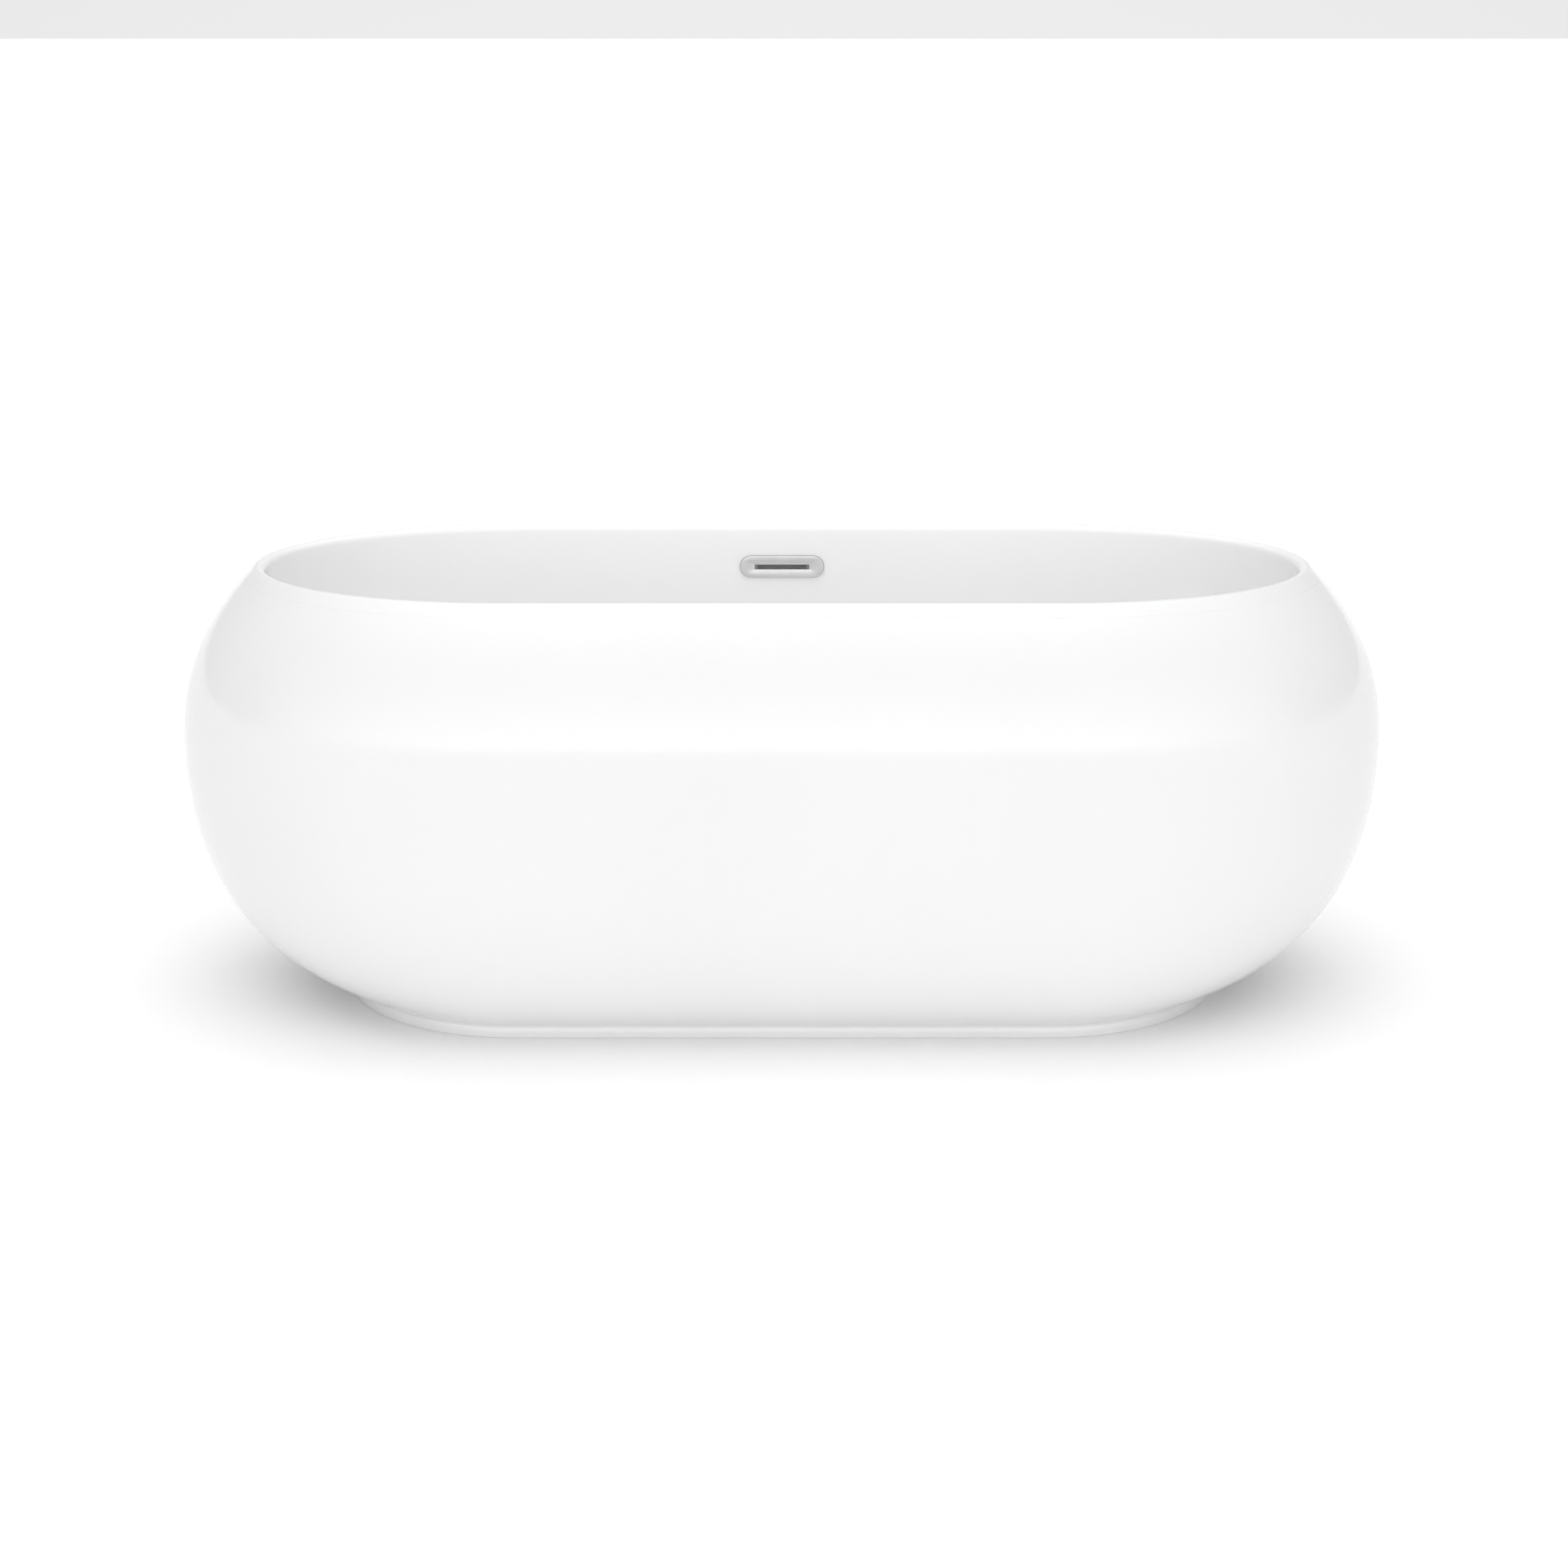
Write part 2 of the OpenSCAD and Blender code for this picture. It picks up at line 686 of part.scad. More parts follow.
module rounded_rectangle(width, height, radius) {
    square([width - 2 * radius, height], center = true);
    square([width, height - 2 * radius], center = true);
    for (x = [-1, 1]) for (y = [-1, 1])
        translate([x * (width / 2 - radius), y * (height / 2 - radius)]) circle(r = radius);
}

// Hollow section along X, centred on the origin in X and Y, standing on z = 0.
module steel_tube(length) {
    translate([-length / 2, 0, tube_height / 2]) rotate([90, 0, 90]) linear_extrude(length) difference() {
        rounded_rectangle(tube_width, tube_height, 2.5);
        rounded_rectangle(tube_width - 2 * tube_wall, tube_height - 2 * tube_wall, 1);
    }
}

module screw_holes(z, height) {
    for (c = crossings) translate([c[0], c[1], z]) cylinder(r = screw_radius + 0.1, h = height);
}

module frame_rail(y) {
    color("slategray") difference() {
        translate([0, y, rail_z]) steel_tube(rail_length);
        screw_holes(rail_z - 1, tube_height + 2);
    }
}

module crossbar(x, length, with_feet) {
    color("slategray") difference() {
        translate([x, 0, bar_z]) rotate([0, 0, 90]) steel_tube(length);
        screw_holes(bar_z - 1, tube_height + 2);
        if (with_feet) for (f = feet) translate([f[0], f[1], bar_z - 1])
            cylinder(r = thread_radius + 1, h = tube_height + 2);
    }
}

module floor_board() {
    half = [430, 150];
    corner = 40;
    drain_clear = 62;
    color("burlywood") difference() {
        translate([0, 0, board_z]) linear_extrude(board_thickness)
            rounded_rectangle(2 * half[0], 2 * half[1], corner);
        translate([0, 0, board_z - 1]) cylinder(r = drain_clear, h = board_thickness + 2);
        screw_holes(board_z - 1, board_bite + 2);
    }
}

module frame_screws() {
    head = 4;
    head_corners = 11.6;
    color("silver") for (c = crossings) translate([c[0], c[1], bar_z]) {
        translate([0, 0, -head]) cylinder(r = head_corners / 2, h = head, $fn = 6);
        translate([0, 0, -head]) cylinder(r = screw_radius, h = head + 2 * tube_height + board_bite);
    }
}

// One plug in an open end of tube: the end face looks along +X.
module tube_plug() {
    slack = 0.1;
    plug = [tube_width - 2 * (tube_wall + slack), tube_height - 2 * (tube_wall + slack)];
    translate([0, 0, tube_height / 2]) rotate([90, 0, 90]) {
        linear_extrude(2) rounded_rectangle(tube_width, tube_height, 2.5);
        translate([0, 0, -12]) linear_extrude(13) rounded_rectangle(plug[0], plug[1], 1);
    }
}

module tube_end_caps() {
    bars = [[foot_x, outer_bar_length], [mid_bar_x, mid_bar_length]];
    color("black") {
        for (y = [-rail_y, rail_y]) for (turn = [0, 180])
            translate([0, y, rail_z]) rotate([0, 0, turn]) translate([rail_length / 2, 0, 0]) tube_plug();
        for (b = bars) for (side = [-1, 1]) for (turn = [90, -90])
            translate([side * b[0], 0, bar_z]) rotate([0, 0, turn]) translate([b[1] / 2, 0, 0]) tube_plug();
    }
}

// ---- Feet -------------------------------------------------------------------------------------

thread_radius = 6;
nut_corners = 21.9;                  // width of an M12 nut across its corners
weld_nut_height = 10;
jam_nut_height = 7;
weld_nut_z = bar_z - weld_nut_height;
jam_nut_z = weld_nut_z - jam_nut_height;
sole_thickness = 3;
pad_radius = 30;
socket_z = 9;                        // bottom of the socket that holds the stud's foot
socket_radius = 9;
stud_top = bar_z + 17;

module hex_nut(z, height, across_corners) {
    for (f = feet) translate([f[0], f[1], z]) difference() {
        cylinder(r = across_corners / 2, h = height, $fn = 6);
        translate([0, 0, -1]) cylinder(r = thread_radius + nut_clear, h = height + 2);
    }
}

module foot_weld_nuts() { color("silver") hex_nut(weld_nut_z, weld_nut_height, nut_corners); }

module foot_lock_nuts() { color("silver") hex_nut(jam_nut_z, jam_nut_height, nut_corners); }

module foot_sole(at) {
    color("black") translate([at[0], at[1], 0]) {
        cylinder(r1 = pad_radius - 1.5, r2 = pad_radius, h = 1);
        translate([0, 0, 1]) cylinder(r = pad_radius, h = sole_thickness - 1);
    }
}

module foot_pad(at) {
    shoulder_top = 10;
    collar_top = 19;
    collar_radius = 14;
    cone_radius = 16;                // narrow end of the pad's cone
    color("dimgray") translate([at[0], at[1], 0]) difference() {
        union() {
            translate([0, 0, sole_thickness]) cylinder(r = pad_radius, h = 3);
            translate([0, 0, sole_thickness + 3])
                cylinder(r1 = pad_radius, r2 = cone_radius, h = shoulder_top - sole_thickness - 3);
            translate([0, 0, shoulder_top - 1])
                cylinder(r = collar_radius, h = collar_top - shoulder_top + 1);
        }
        translate([0, 0, socket_z]) cylinder(r = socket_radius + nut_clear, h = 7);
        translate([0, 0, socket_z]) cylinder(r = thread_radius + nut_clear, h = 20);
    }
}

module foot_stud(at) {
    hex_z = 24;                      // height of the hexagon for the spanner
    hex_corners = 18.4;
    foot_height = 6.5;               // height of the stud's foot in the pad
    color("silver") translate([at[0], at[1], 0]) {
        translate([0, 0, socket_z + nut_clear]) cylinder(r = socket_radius, h = foot_height);
        translate([0, 0, socket_z + nut_clear]) cylinder(r = thread_radius, h = stud_top - socket_z - 1);
        translate([0, 0, stud_top - 1]) cylinder(r1 = thread_radius, r2 = thread_radius - 1, h = 1);
        translate([0, 0, hex_z]) cylinder(r = hex_corners / 2, h = 6, $fn = 6);
    }
}

// ---- Nodes ------------------------------------------------------------------------------------

outer_skirt();
inner_basin();
rim_bond();
floor_board();
frame_rail(-rail_y);  // frame_rail_front
frame_rail(rail_y);  // frame_rail_rear
crossbar(-foot_x, outer_bar_length, true);  // crossbar_left
crossbar(-mid_bar_x, mid_bar_length, false);  // crossbar_mid_left
crossbar(mid_bar_x, mid_bar_length, false);  // crossbar_mid_right
crossbar(foot_x, outer_bar_length, true);  // crossbar_right
tube_end_caps();
frame_screws();
foot_weld_nuts();
foot_lock_nuts();
overflow_cover();
overflow_gasket_front();
overflow_gasket_rear();
overflow_body();
overflow_screws();
overflow_hose();
hose_clamps();
drain_flange();
drain_gasket_top();
drain_gasket_bottom();
drain_washer();
drain_lock_nut();
waste_tee();
tailpiece();
tailpiece_nut();
tailpiece_washer();
stopper_cartridge();
stopper_spring();
stopper_cap();
stopper_stem();
stopper_seal();
for (i = [0:3]) {
    foot_pad(feet[i]);
    foot_sole(feet[i]);
    foot_stud(feet[i]);
}
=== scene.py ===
import math

import bmesh
import bpy
import numpy as np
from mathutils import Matrix, Vector


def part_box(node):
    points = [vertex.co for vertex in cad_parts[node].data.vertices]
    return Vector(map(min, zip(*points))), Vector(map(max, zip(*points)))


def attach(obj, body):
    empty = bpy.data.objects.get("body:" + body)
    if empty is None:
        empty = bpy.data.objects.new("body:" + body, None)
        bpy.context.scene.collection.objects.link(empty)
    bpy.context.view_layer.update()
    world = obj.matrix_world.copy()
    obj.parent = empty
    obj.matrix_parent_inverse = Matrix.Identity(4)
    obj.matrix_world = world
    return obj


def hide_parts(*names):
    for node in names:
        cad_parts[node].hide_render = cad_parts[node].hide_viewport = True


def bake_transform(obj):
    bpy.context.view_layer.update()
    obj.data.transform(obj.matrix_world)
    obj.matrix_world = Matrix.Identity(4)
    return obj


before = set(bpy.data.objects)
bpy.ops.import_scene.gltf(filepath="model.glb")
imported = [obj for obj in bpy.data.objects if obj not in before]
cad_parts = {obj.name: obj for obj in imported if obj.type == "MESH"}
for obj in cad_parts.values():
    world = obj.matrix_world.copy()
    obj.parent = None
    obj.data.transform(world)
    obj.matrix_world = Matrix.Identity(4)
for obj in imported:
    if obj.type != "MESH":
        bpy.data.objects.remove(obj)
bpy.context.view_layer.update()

# Metres. +X runs along the tub, +Y points to the side with the overflow, +Z is up, and the floor is z = 0.

MM = 0.001

# ---- Curves of the tub -------------------------------------------------------------------------
# A station is one level outline: half length, half width, height, half straight length.

FLANGE_RECESS = 4 * MM
skirt_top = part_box("outer_skirt")[1]
rim_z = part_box("inner_basin")[1].z
floor_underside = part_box("floor_board")[1].z
seat_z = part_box("drain_gasket_top")[0].z
floor_z = seat_z + FLANGE_RECESS

# The body: sizes in plan, heights, and the handles that shape its curves.
HALF_STRAIGHT = 0.365
RIM_LENGTH, RIM_WIDTH = 1.472, 0.620
RIM_RADIUS = 0.010
SHOULDER_SLOPE = 47
SHOULDER_REACH = 0.082
SHOULDER_BULGE = 0.47
ROLL_END = 90 - SHOULDER_SLOPE
BELLY_Z = 0.365
BELLY_BULGE = 0.87
BASE_LENGTH, BASE_WIDTH = 1.256, 0.580
BASE_HANDLE = np.array([0.022, 0.014, 0.012, 0])
PLINTH = 0.018

# The basin: its nearly flat floor, and the handles of its wall.
FLOOR_LENGTH, FLOOR_WIDTH, FLOOR_STRAIGHT = 0.860, 0.330, 0.255
FLOOR_FALL = 4 * MM
FLOOR_HANDLE = np.array([0.115, 0.090, 0, 0.020])
WALL_DRAFT, WALL_REACH = 0.004, 0.190

# The shells: their walls, and the seam and the glued tongue as parameters down the shoulder's curve.
SKIRT_WALL = 0.005
BASIN_WALL = 0.005
TONGUE_FACE = 0.006
TONGUE_WALL = 0.004
TONGUE_TOP = 0.02
SEAM = 0.07
SEAM_GAP = 0.0003


def station(length, width, z, straight=HALF_STRAIGHT):
    return np.array([length, width, z, straight], float)


def bezier(p, t):
    u = 1 - t
    return u**3 * p[0] + 3 * u * u * t * p[1] + 3 * u * t * t * p[2] + t**3 * p[3]


def bezier_slope(p, t):
    u = 1 - t
    return 3 * u * u * (p[1] - p[0]) + 6 * u * t * (p[2] - p[1]) + 3 * t * t * (p[3] - p[2])


def inset(p, t, depth):
    """A station of a downward curve, moved square to the surface towards the inside of the tub."""
    s, d = bezier(p, t), bezier_slope(p, t)
    end, side = math.hypot(d[0], d[2]), math.hypot(d[1], d[2])
    drop = (d[0] / end + d[1] / side) / 2
    return s + depth * np.array([d[2] / end, d[2] / side, -drop, 0])


def grow(s, by, z):
    """A station moved outwards in plan and set at a height."""
    return station(s[0] + by, s[1] + by, z, s[3])


crest = station(RIM_LENGTH / 2, RIM_WIDTH / 2, rim_z - RIM_RADIUS)
belly = station(skirt_top.x, skirt_top.y, BELLY_Z)
base = station(BASE_LENGTH / 2, BASE_WIDTH / 2, PLINTH)


def roll(radius, degrees):
    """A station on the rolled rim: 0 degrees faces out, 90 is the crest and 180 faces into the tub."""
    a = math.radians(degrees)
    return crest + radius * np.array([math.cos(a), math.cos(a), math.sin(a), 0])


slope = math.radians(SHOULDER_SLOPE)
down_slope = np.array([math.cos(slope), math.cos(slope), -math.sin(slope), 0])
lift = np.array([0, 0, 1, 0])
roll_end = roll(RIM_RADIUS, ROLL_END)
shoulder = [
    roll_end,
    roll_end + SHOULDER_REACH * down_slope,
    belly + SHOULDER_BULGE * (crest[2] - belly[2]) * lift,
    belly,
]
underbelly = [
    belly,
    belly - BELLY_BULGE * (belly[2] - PLINTH) * lift,
    base + BASE_HANDLE,
    base,
]
floor_edge = station(FLOOR_LENGTH / 2, FLOOR_WIDTH / 2, floor_z + FLOOR_FALL, FLOOR_STRAIGHT)
wall_top = roll(RIM_RADIUS, 180)
basin_inside = [
    wall_top,
    grow(wall_top, -WALL_DRAFT, crest[2] - WALL_REACH),
    floor_edge + FLOOR_HANDLE,
    floor_edge,
]
wall_growth = BASIN_WALL * np.array([1, 1, 2, 1])
wall_drop = (floor_edge[2] - floor_underside) * np.array([0, 0, 1, 1])
basin_outside = [
    grow(p, wall_growth[i], p[2] - wall_drop[i]) for i, p in enumerate(basin_inside)
]


def at_height(p, z):
    """The parameter at which a falling curve of stations reaches a height."""
    low, high = 0.0, 1.0
    for _ in range(40):
        mid = (low + high) / 2
        low, high = (mid, high) if bezier(p, mid)[2] > z else (low, mid)
    return mid


# ---- Mesh building -----------------------------------------------------------------------------

CAP_STEPS = 88
STRAIGHT_STEPS = 26


def outline(s):
    """Points round one station, counterclockwise seen from above."""
    points = []
    for side in (1, -1):
        for i in range(CAP_STEPS + 1):
            a = math.radians(-90 + 180 * i / CAP_STEPS)
            points.append((side * (s[3] + (s[0] - s[3]) * math.cos(a)), side * s[1] * math.sin(a), s[2]))
        for i in range(1, STRAIGHT_STEPS):
            points.append((side * s[3] * (1 - 2 * i / STRAIGHT_STEPS), side * s[1], s[2]))
    return np.array(points)


def circle(radius, z, steps=72, centre=(0, 0)):
    a = np.arange(steps) * 2 * math.pi / steps - math.pi / 2
    return np.stack([centre[0] + radius * np.cos(a), centre[1] + radius * np.sin(a), np.full(steps, z)], 1)


def spread(low, high, count):
    return [low + (high - low) * i / (count - 1) for i in range(count)]


class Shape:
    """Collects skins of rings, then makes one mesh object of them."""

    def __init__(self):
        self.points, self.faces, self.slots = [], [], []

    def skin(self, rings, closed=True, slots=None, place=None):
        """Joins neighbouring rings; the last joins the first if closed, or else both ends are capped."""
        n, start = len(rings[0]), len(self.points)
        for r in rings:
            r = np.asarray(r, float)
            if place is not None:
                m = np.array(place)
                r = r @ m[:3, :3].T + m[:3, 3]
            self.points.extend(map(tuple, r))
        count = len(rings)
        for j in range(count if closed else count - 1):
            a, b = start + j * n, start + ((j + 1) % count) * n
            slot = slots[j] if slots else 0
            for i in range(n):
                k = (i + 1) % n
                self.faces.append((a + i, b + i, b + k, a + k))
                self.slots.append(slot)
        if not closed:
            last = start + (count - 1) * n
            self.faces.append(tuple(range(start, start + n)))
            self.faces.append(tuple(last + i for i in range(n - 1, -1, -1)))
            self.slots.extend([slots[0] if slots else 0, slots[-1] if slots else 0])
        return self

    def make(self, name, materials, sharp=32):
        mesh = bpy.data.meshes.new(name)
        mesh.from_pydata(self.points, [], self.faces)
        mesh.polygons.foreach_set("material_index", self.slots)
        piece = bpy.data.objects.new(name, mesh)
        bpy.context.scene.collection.objects.link(piece)
        for m in materials:
            mesh.materials.append(m)
        clean(mesh)
        finish_shading(mesh, sharp)
        return piece


def clean(mesh):
    """Merges doubled points and drops the empty faces that they leave."""
    bm = bmesh.new()
    bm.from_mesh(mesh)
    bmesh.ops.remove_doubles(bm, verts=bm.verts, dist=1e-6)
    bmesh.ops.dissolve_degenerate(bm, edges=bm.edges, dist=1e-7)
    loose = [e for e in bm.edges if not e.link_faces]
    bmesh.ops.delete(bm, geom=loose, context="EDGES")
    bmesh.ops.recalc_face_normals(bm, faces=bm.faces)
    bm.to_mesh(mesh)
    bm.free()


def finish_shading(mesh, sharp):
    mesh.shade_smooth()
    mesh.set_sharp_from_angle(angle=math.radians(sharp))


def stand_in(piece, body, slot, *nodes):
    """Puts a finished piece in place of its CAD nodes."""
    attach(piece, body)
    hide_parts(*nodes)
    return piece


def rounded(points, steps=5):
    """Rounds the corners of a closed outline of (r, z, corner radius) points."""
    nearly_straight = math.radians(89)
    made = []
    for i, (r, z, radius) in enumerate(points):
        here = np.array([r, z])
        back = np.array(points[i - 1][:2]) - here
        ahead = np.array(points[(i + 1) % len(points)][:2]) - here
        if radius <= 0:
            made.append(tuple(here))
            continue
        back_unit, ahead_unit = back / np.linalg.norm(back), ahead / np.linalg.norm(ahead)
        half = math.acos(max(-1, min(1, float(back_unit @ ahead_unit)))) / 2
        if half > nearly_straight:
            made.append(tuple(here))
            continue
        reach = radius / math.tan(half)
        bisector = (back_unit + ahead_unit) / np.linalg.norm(back_unit + ahead_unit)
        middle = here + bisector * radius / math.sin(half)
        first, last = here + back_unit * reach - middle, here + ahead_unit * reach - middle
        turn = math.atan2(first[0] * last[1] - first[1] * last[0], float(first @ last))
        for k in range(steps + 1):
            a = turn * k / steps
            x = first[0] * math.cos(a) - first[1] * math.sin(a)
            y = first[0] * math.sin(a) + first[1] * math.cos(a)
            made.append((middle[0] + x, middle[1] + y))
    return made


def turned(points, centre=(0, 0), steps=72):
    """Rings of a turned part from a closed outline of (r, z, corner radius) points, in millimetres."""
    return [
        circle(max(r, 0) * MM, z * MM, steps, centre)
        for r, z in rounded(points)
    ]


# ---- Materials ---------------------------------------------------------------------------------


def maths_node(tree, kind, a, b):
    """A Math node on two values, each a number or another node's output."""
    n = tree.nodes.new("ShaderNodeMath")
    n.operation = kind
    for socket, value in zip(n.inputs, (a, b)):
        if isinstance(value, (int, float)):
            socket.default_value = value
        else:
            tree.links.new(value, socket)
    return n.outputs["Value"]


class Look:
    """A material under construction: a Principled shader and short ways to drive it."""

    def __init__(self, name, **sockets):
        self.material = bpy.data.materials.new(name)
        self.material.use_nodes = True
        self.tree = self.material.node_tree
        self.shader = self.tree.nodes["Principled BSDF"]
        for key, value in sockets.items():
            label = key.replace("_", " ").title().replace("Ior", "IOR")
            self.shader.inputs[label].default_value = value

    def node(self, kind, **settings):
        n = self.tree.nodes.new(kind)
        for key, value in settings.items():
            setattr(n, key, value)
        return n

    def link(self, a, b):
        self.tree.links.new(a, b)

    def place(self, scale=(1, 1, 1), turn=(0, 0, 0)):
        """Coordinates fixed to the piece, stretched and turned in degrees."""
        coordinates = self.node("ShaderNodeTexCoord")
        mapping = self.node("ShaderNodeMapping")
        mapping.inputs["Scale"].default_value = scale
        mapping.inputs["Rotation"].default_value = [math.radians(a) for a in turn]
        self.link(coordinates.outputs["Object"], mapping.inputs["Vector"])
        return mapping.outputs["Vector"]

    def noise(self, size, detail=3, stretch=(1, 1, 1), turn=(0, 0, 0)):
        """Noise whose features measure about size metres."""
        n = self.node("ShaderNodeTexNoise")
        n.inputs["Scale"].default_value = 1 / size
        n.inputs["Detail"].default_value = detail
        self.link(self.place(stretch, turn), n.inputs["Vector"])
        return n.outputs["Fac"]

    def fit(self, value, low, high, from_low=0.3, from_high=0.7):
        n = self.node("ShaderNodeMapRange")
        n.inputs["From Min"].default_value = from_low
        n.inputs["From Max"].default_value = from_high
        n.inputs["To Min"].default_value = low
        n.inputs["To Max"].default_value = high
        self.link(value, n.inputs["Value"])
        return n.outputs["Result"]

    def colour(self, value, first, second, from_low=0.35, from_high=0.65):
        ramp = self.node("ShaderNodeValToRGB")
        ramp.color_ramp.elements[0].position = from_low
        ramp.color_ramp.elements[1].position = from_high
        ramp.color_ramp.elements[0].color = (*first, 1)
        ramp.color_ramp.elements[1].color = (*second, 1)
        self.link(value, ramp.inputs["Fac"])
        return ramp.outputs["Color"]

    def blend(self, factor, a, b):
        n = self.node("ShaderNodeMix", data_type="RGBA")
        self.link(factor, n.inputs["Factor"])
        self.link(a, n.inputs["A"])
        self.link(b, n.inputs["B"])
        return n.outputs["Result"]

    def maths(self, kind, a, b=0):
        return maths_node(self.tree, kind, a, b)

    def paint(self, value):
        self.link(value, self.shader.inputs["Base Color"])

    def rough(self, value, low, high):
        self.link(self.fit(value, low, high), self.shader.inputs["Roughness"])

    def bump(self, value, depth, below=None):
        """Relief of about depth metres."""
        n = self.node("ShaderNodeBump")
        n.inputs["Distance"].default_value = depth
        self.link(value, n.inputs["Height"])
        if below is not None:
            self.link(below, n.inputs["Normal"])
        self.link(n.outputs["Normal"], self.shader.inputs["Normal"])
        return n.outputs["Normal"]


def acrylic(name, tone):
    """Cast acrylic sheet: deep gloss with the faint waviness of a vacuum-formed surface."""
    look = Look(name, ior=1.49, coat_weight=0.25, coat_roughness=0.04, coat_ior=1.5)
    cloud = look.noise(0.35, 2)
    look.paint(look.colour(cloud, [c * 0.985 for c in tone], tone))
    look.rough(look.noise(0.02, 4), 0.10, 0.17)
    wave = look.bump(look.noise(0.11, 1), 0.00022)
    look.bump(look.noise(0.0025, 2), 0.000006, wave)
    return look.material


def laminate():
    """Chopped glass mat in clear resin, on the backs of both shells."""
    look = Look("glass_mat_laminate", ior=1.53, specular_ior_level=0.4)
    strands = [
        look.noise(0.02, 3, stretch, (20, 0, turn))
        for stretch, turn in (((1, 14, 14), 10), ((14, 1, 14), 40), ((1, 14, 5), 75))
    ]
    mat = look.maths("MAXIMUM", look.maths("MAXIMUM", strands[0], strands[1]), strands[2])
    resin = look.colour(look.noise(0.08, 3), (0.62, 0.60, 0.50), (0.74, 0.72, 0.63))
    glass = look.colour(mat, (0.60, 0.58, 0.49), (0.86, 0.86, 0.81), 0.5, 0.72)
    look.paint(look.blend(look.fit(mat, 0, 1, 0.48, 0.66), resin, glass))
    look.rough(mat, 0.55, 0.28)
    look.bump(mat, 0.0009)
    return look.material


def satin_metal():
    """Satin stainless plate, brushed along its length."""
    look = Look("satin_metal", metallic=1.0)
    brush = look.noise(0.0012, 2, (0.02, 1, 1))
    cloud = look.noise(0.03, 2)
    mixed = look.maths("ADD", look.maths("MULTIPLY", brush, 0.6), look.maths("MULTIPLY", cloud, 0.4))
    look.paint(look.colour(mixed, (0.60, 0.60, 0.605), (0.70, 0.70, 0.70)))
    look.rough(brush, 0.30, 0.42)
    look.bump(brush, 0.00001)
    return look.material


def metal(name, dark, light, low, high, grain=0.004, stretch=(1, 1, 1), relief=0.000006):
    look = Look(name, metallic=1.0)
    texture = look.noise(grain, 4, stretch)
    look.paint(look.colour(look.noise(grain * 6, 3), dark, light))
    look.rough(texture, low, high)
    look.bump(texture, relief)
    return look.material


def moulded(name, dark, light, low, high, grain=0.0012, relief=0.00003):
    look = Look(name, ior=1.5, specular_ior_level=0.45)
    texture = look.noise(grain, 3)
    look.paint(look.colour(look.noise(0.03, 4), dark, light))
    look.rough(texture, low, high)
    look.bump(texture, relief)
    return look.material


def plywood():
    """Birch plywood: long grain on the faces and stacked plies at the edges."""
    look = Look("plywood", specular_ior_level=0.3)
    grain = look.noise(0.03, 6, (0.12, 1, 1))
    fibre = look.noise(0.004, 4, (0.06, 1, 1))
    face = look.colour(grain, (0.42, 0.27, 0.13), (0.66, 0.48, 0.28), 0.3, 0.7)
    plies = look.node("ShaderNodeTexWave", bands_direction="Z")
    plies.inputs["Scale"].default_value = 110
    plies.inputs["Distortion"].default_value = 0.4
    look.link(look.place(), plies.inputs["Vector"])
    edge = look.colour(plies.outputs["Fac"], (0.27, 0.16, 0.08), (0.62, 0.45, 0.26), 0.3, 0.6)
    normal = look.node("ShaderNodeNewGeometry")
    up = look.node("ShaderNodeSeparateXYZ")
    look.link(normal.outputs["True Normal"], up.inputs["Vector"])
    flat = look.maths("ABSOLUTE", up.outputs["Z"])
    look.paint(look.blend(look.fit(flat, 0, 1, 0.4, 0.6), edge, face))
    look.rough(fibre, 0.55, 0.75)
    look.bump(fibre, 0.00025)
    return look.material


def powder_coat():
    """Grey powder coat with its orange peel, a little glossier where it pooled."""
    look = Look("powder_coat", ior=1.5)
    peel = look.noise(0.0022, 2)
    look.paint(look.colour(look.noise(0.06, 4), (0.145, 0.155, 0.165), (0.19, 0.20, 0.21)))
    look.rough(look.noise(0.03, 3), 0.38, 0.52)
    look.bump(peel, 0.00006)
    return look.material


def floor_material():
    look = Look("studio_floor", specular_ior_level=0.1)
    look.paint(look.colour(look.noise(0.8, 3), (0.955, 0.955, 0.955), (0.965, 0.965, 0.965)))
    look.rough(look.noise(0.2, 3), 0.7, 0.85)
    return look.material


looks = {
    # Skirt and basin are one white acrylic. The skirt's darker tone is painted shade and the basin's
    # lighter tone is painted light; together they set how bright the outside and the inside of the tub
    # look.
    "skirt": acrylic("skirt_acrylic", (0.797, 0.797, 0.800)),
    "basin": acrylic("basin_acrylic", (0.885, 0.885, 0.888)),
    "laminate": laminate(),
    "satin": satin_metal(),
    "chrome": metal("polished_chrome", (0.50, 0.505, 0.51), (0.58, 0.585, 0.59), 0.04, 0.10, 0.01),
    "zinc": metal("zinc_plate", (0.50, 0.51, 0.52), (0.66, 0.67, 0.68), 0.28, 0.46, 0.002, relief=0.00001),
    "brass": metal("machined_brass", (0.56, 0.38, 0.16), (0.70, 0.51, 0.24), 0.22, 0.36, 0.0015, (1, 1, 8)),
    "rubber": moulded("black_rubber", (0.018, 0.018, 0.018), (0.034, 0.034, 0.034), 0.62, 0.85),
    "black": moulded("black_abs", (0.022, 0.022, 0.024), (0.036, 0.036, 0.038), 0.34, 0.50),
    "grey": moulded("pale_abs", (0.74, 0.74, 0.745), (0.82, 0.82, 0.825), 0.36, 0.5),
    "pad": moulded("grey_nylon", (0.075, 0.075, 0.08), (0.11, 0.11, 0.115), 0.42, 0.6),
    "pale": moulded("natural_nylon", (0.66, 0.63, 0.55), (0.76, 0.74, 0.67), 0.38, 0.55),
    "hose": moulded("white_hose_pvc", (0.60, 0.60, 0.59), (0.70, 0.70, 0.69), 0.35, 0.5),
    "adhesive": moulded("rim_adhesive", (0.60, 0.59, 0.55), (0.70, 0.69, 0.66), 0.5, 0.7),
    "plywood": plywood(),
    "powder": powder_coat(),
}
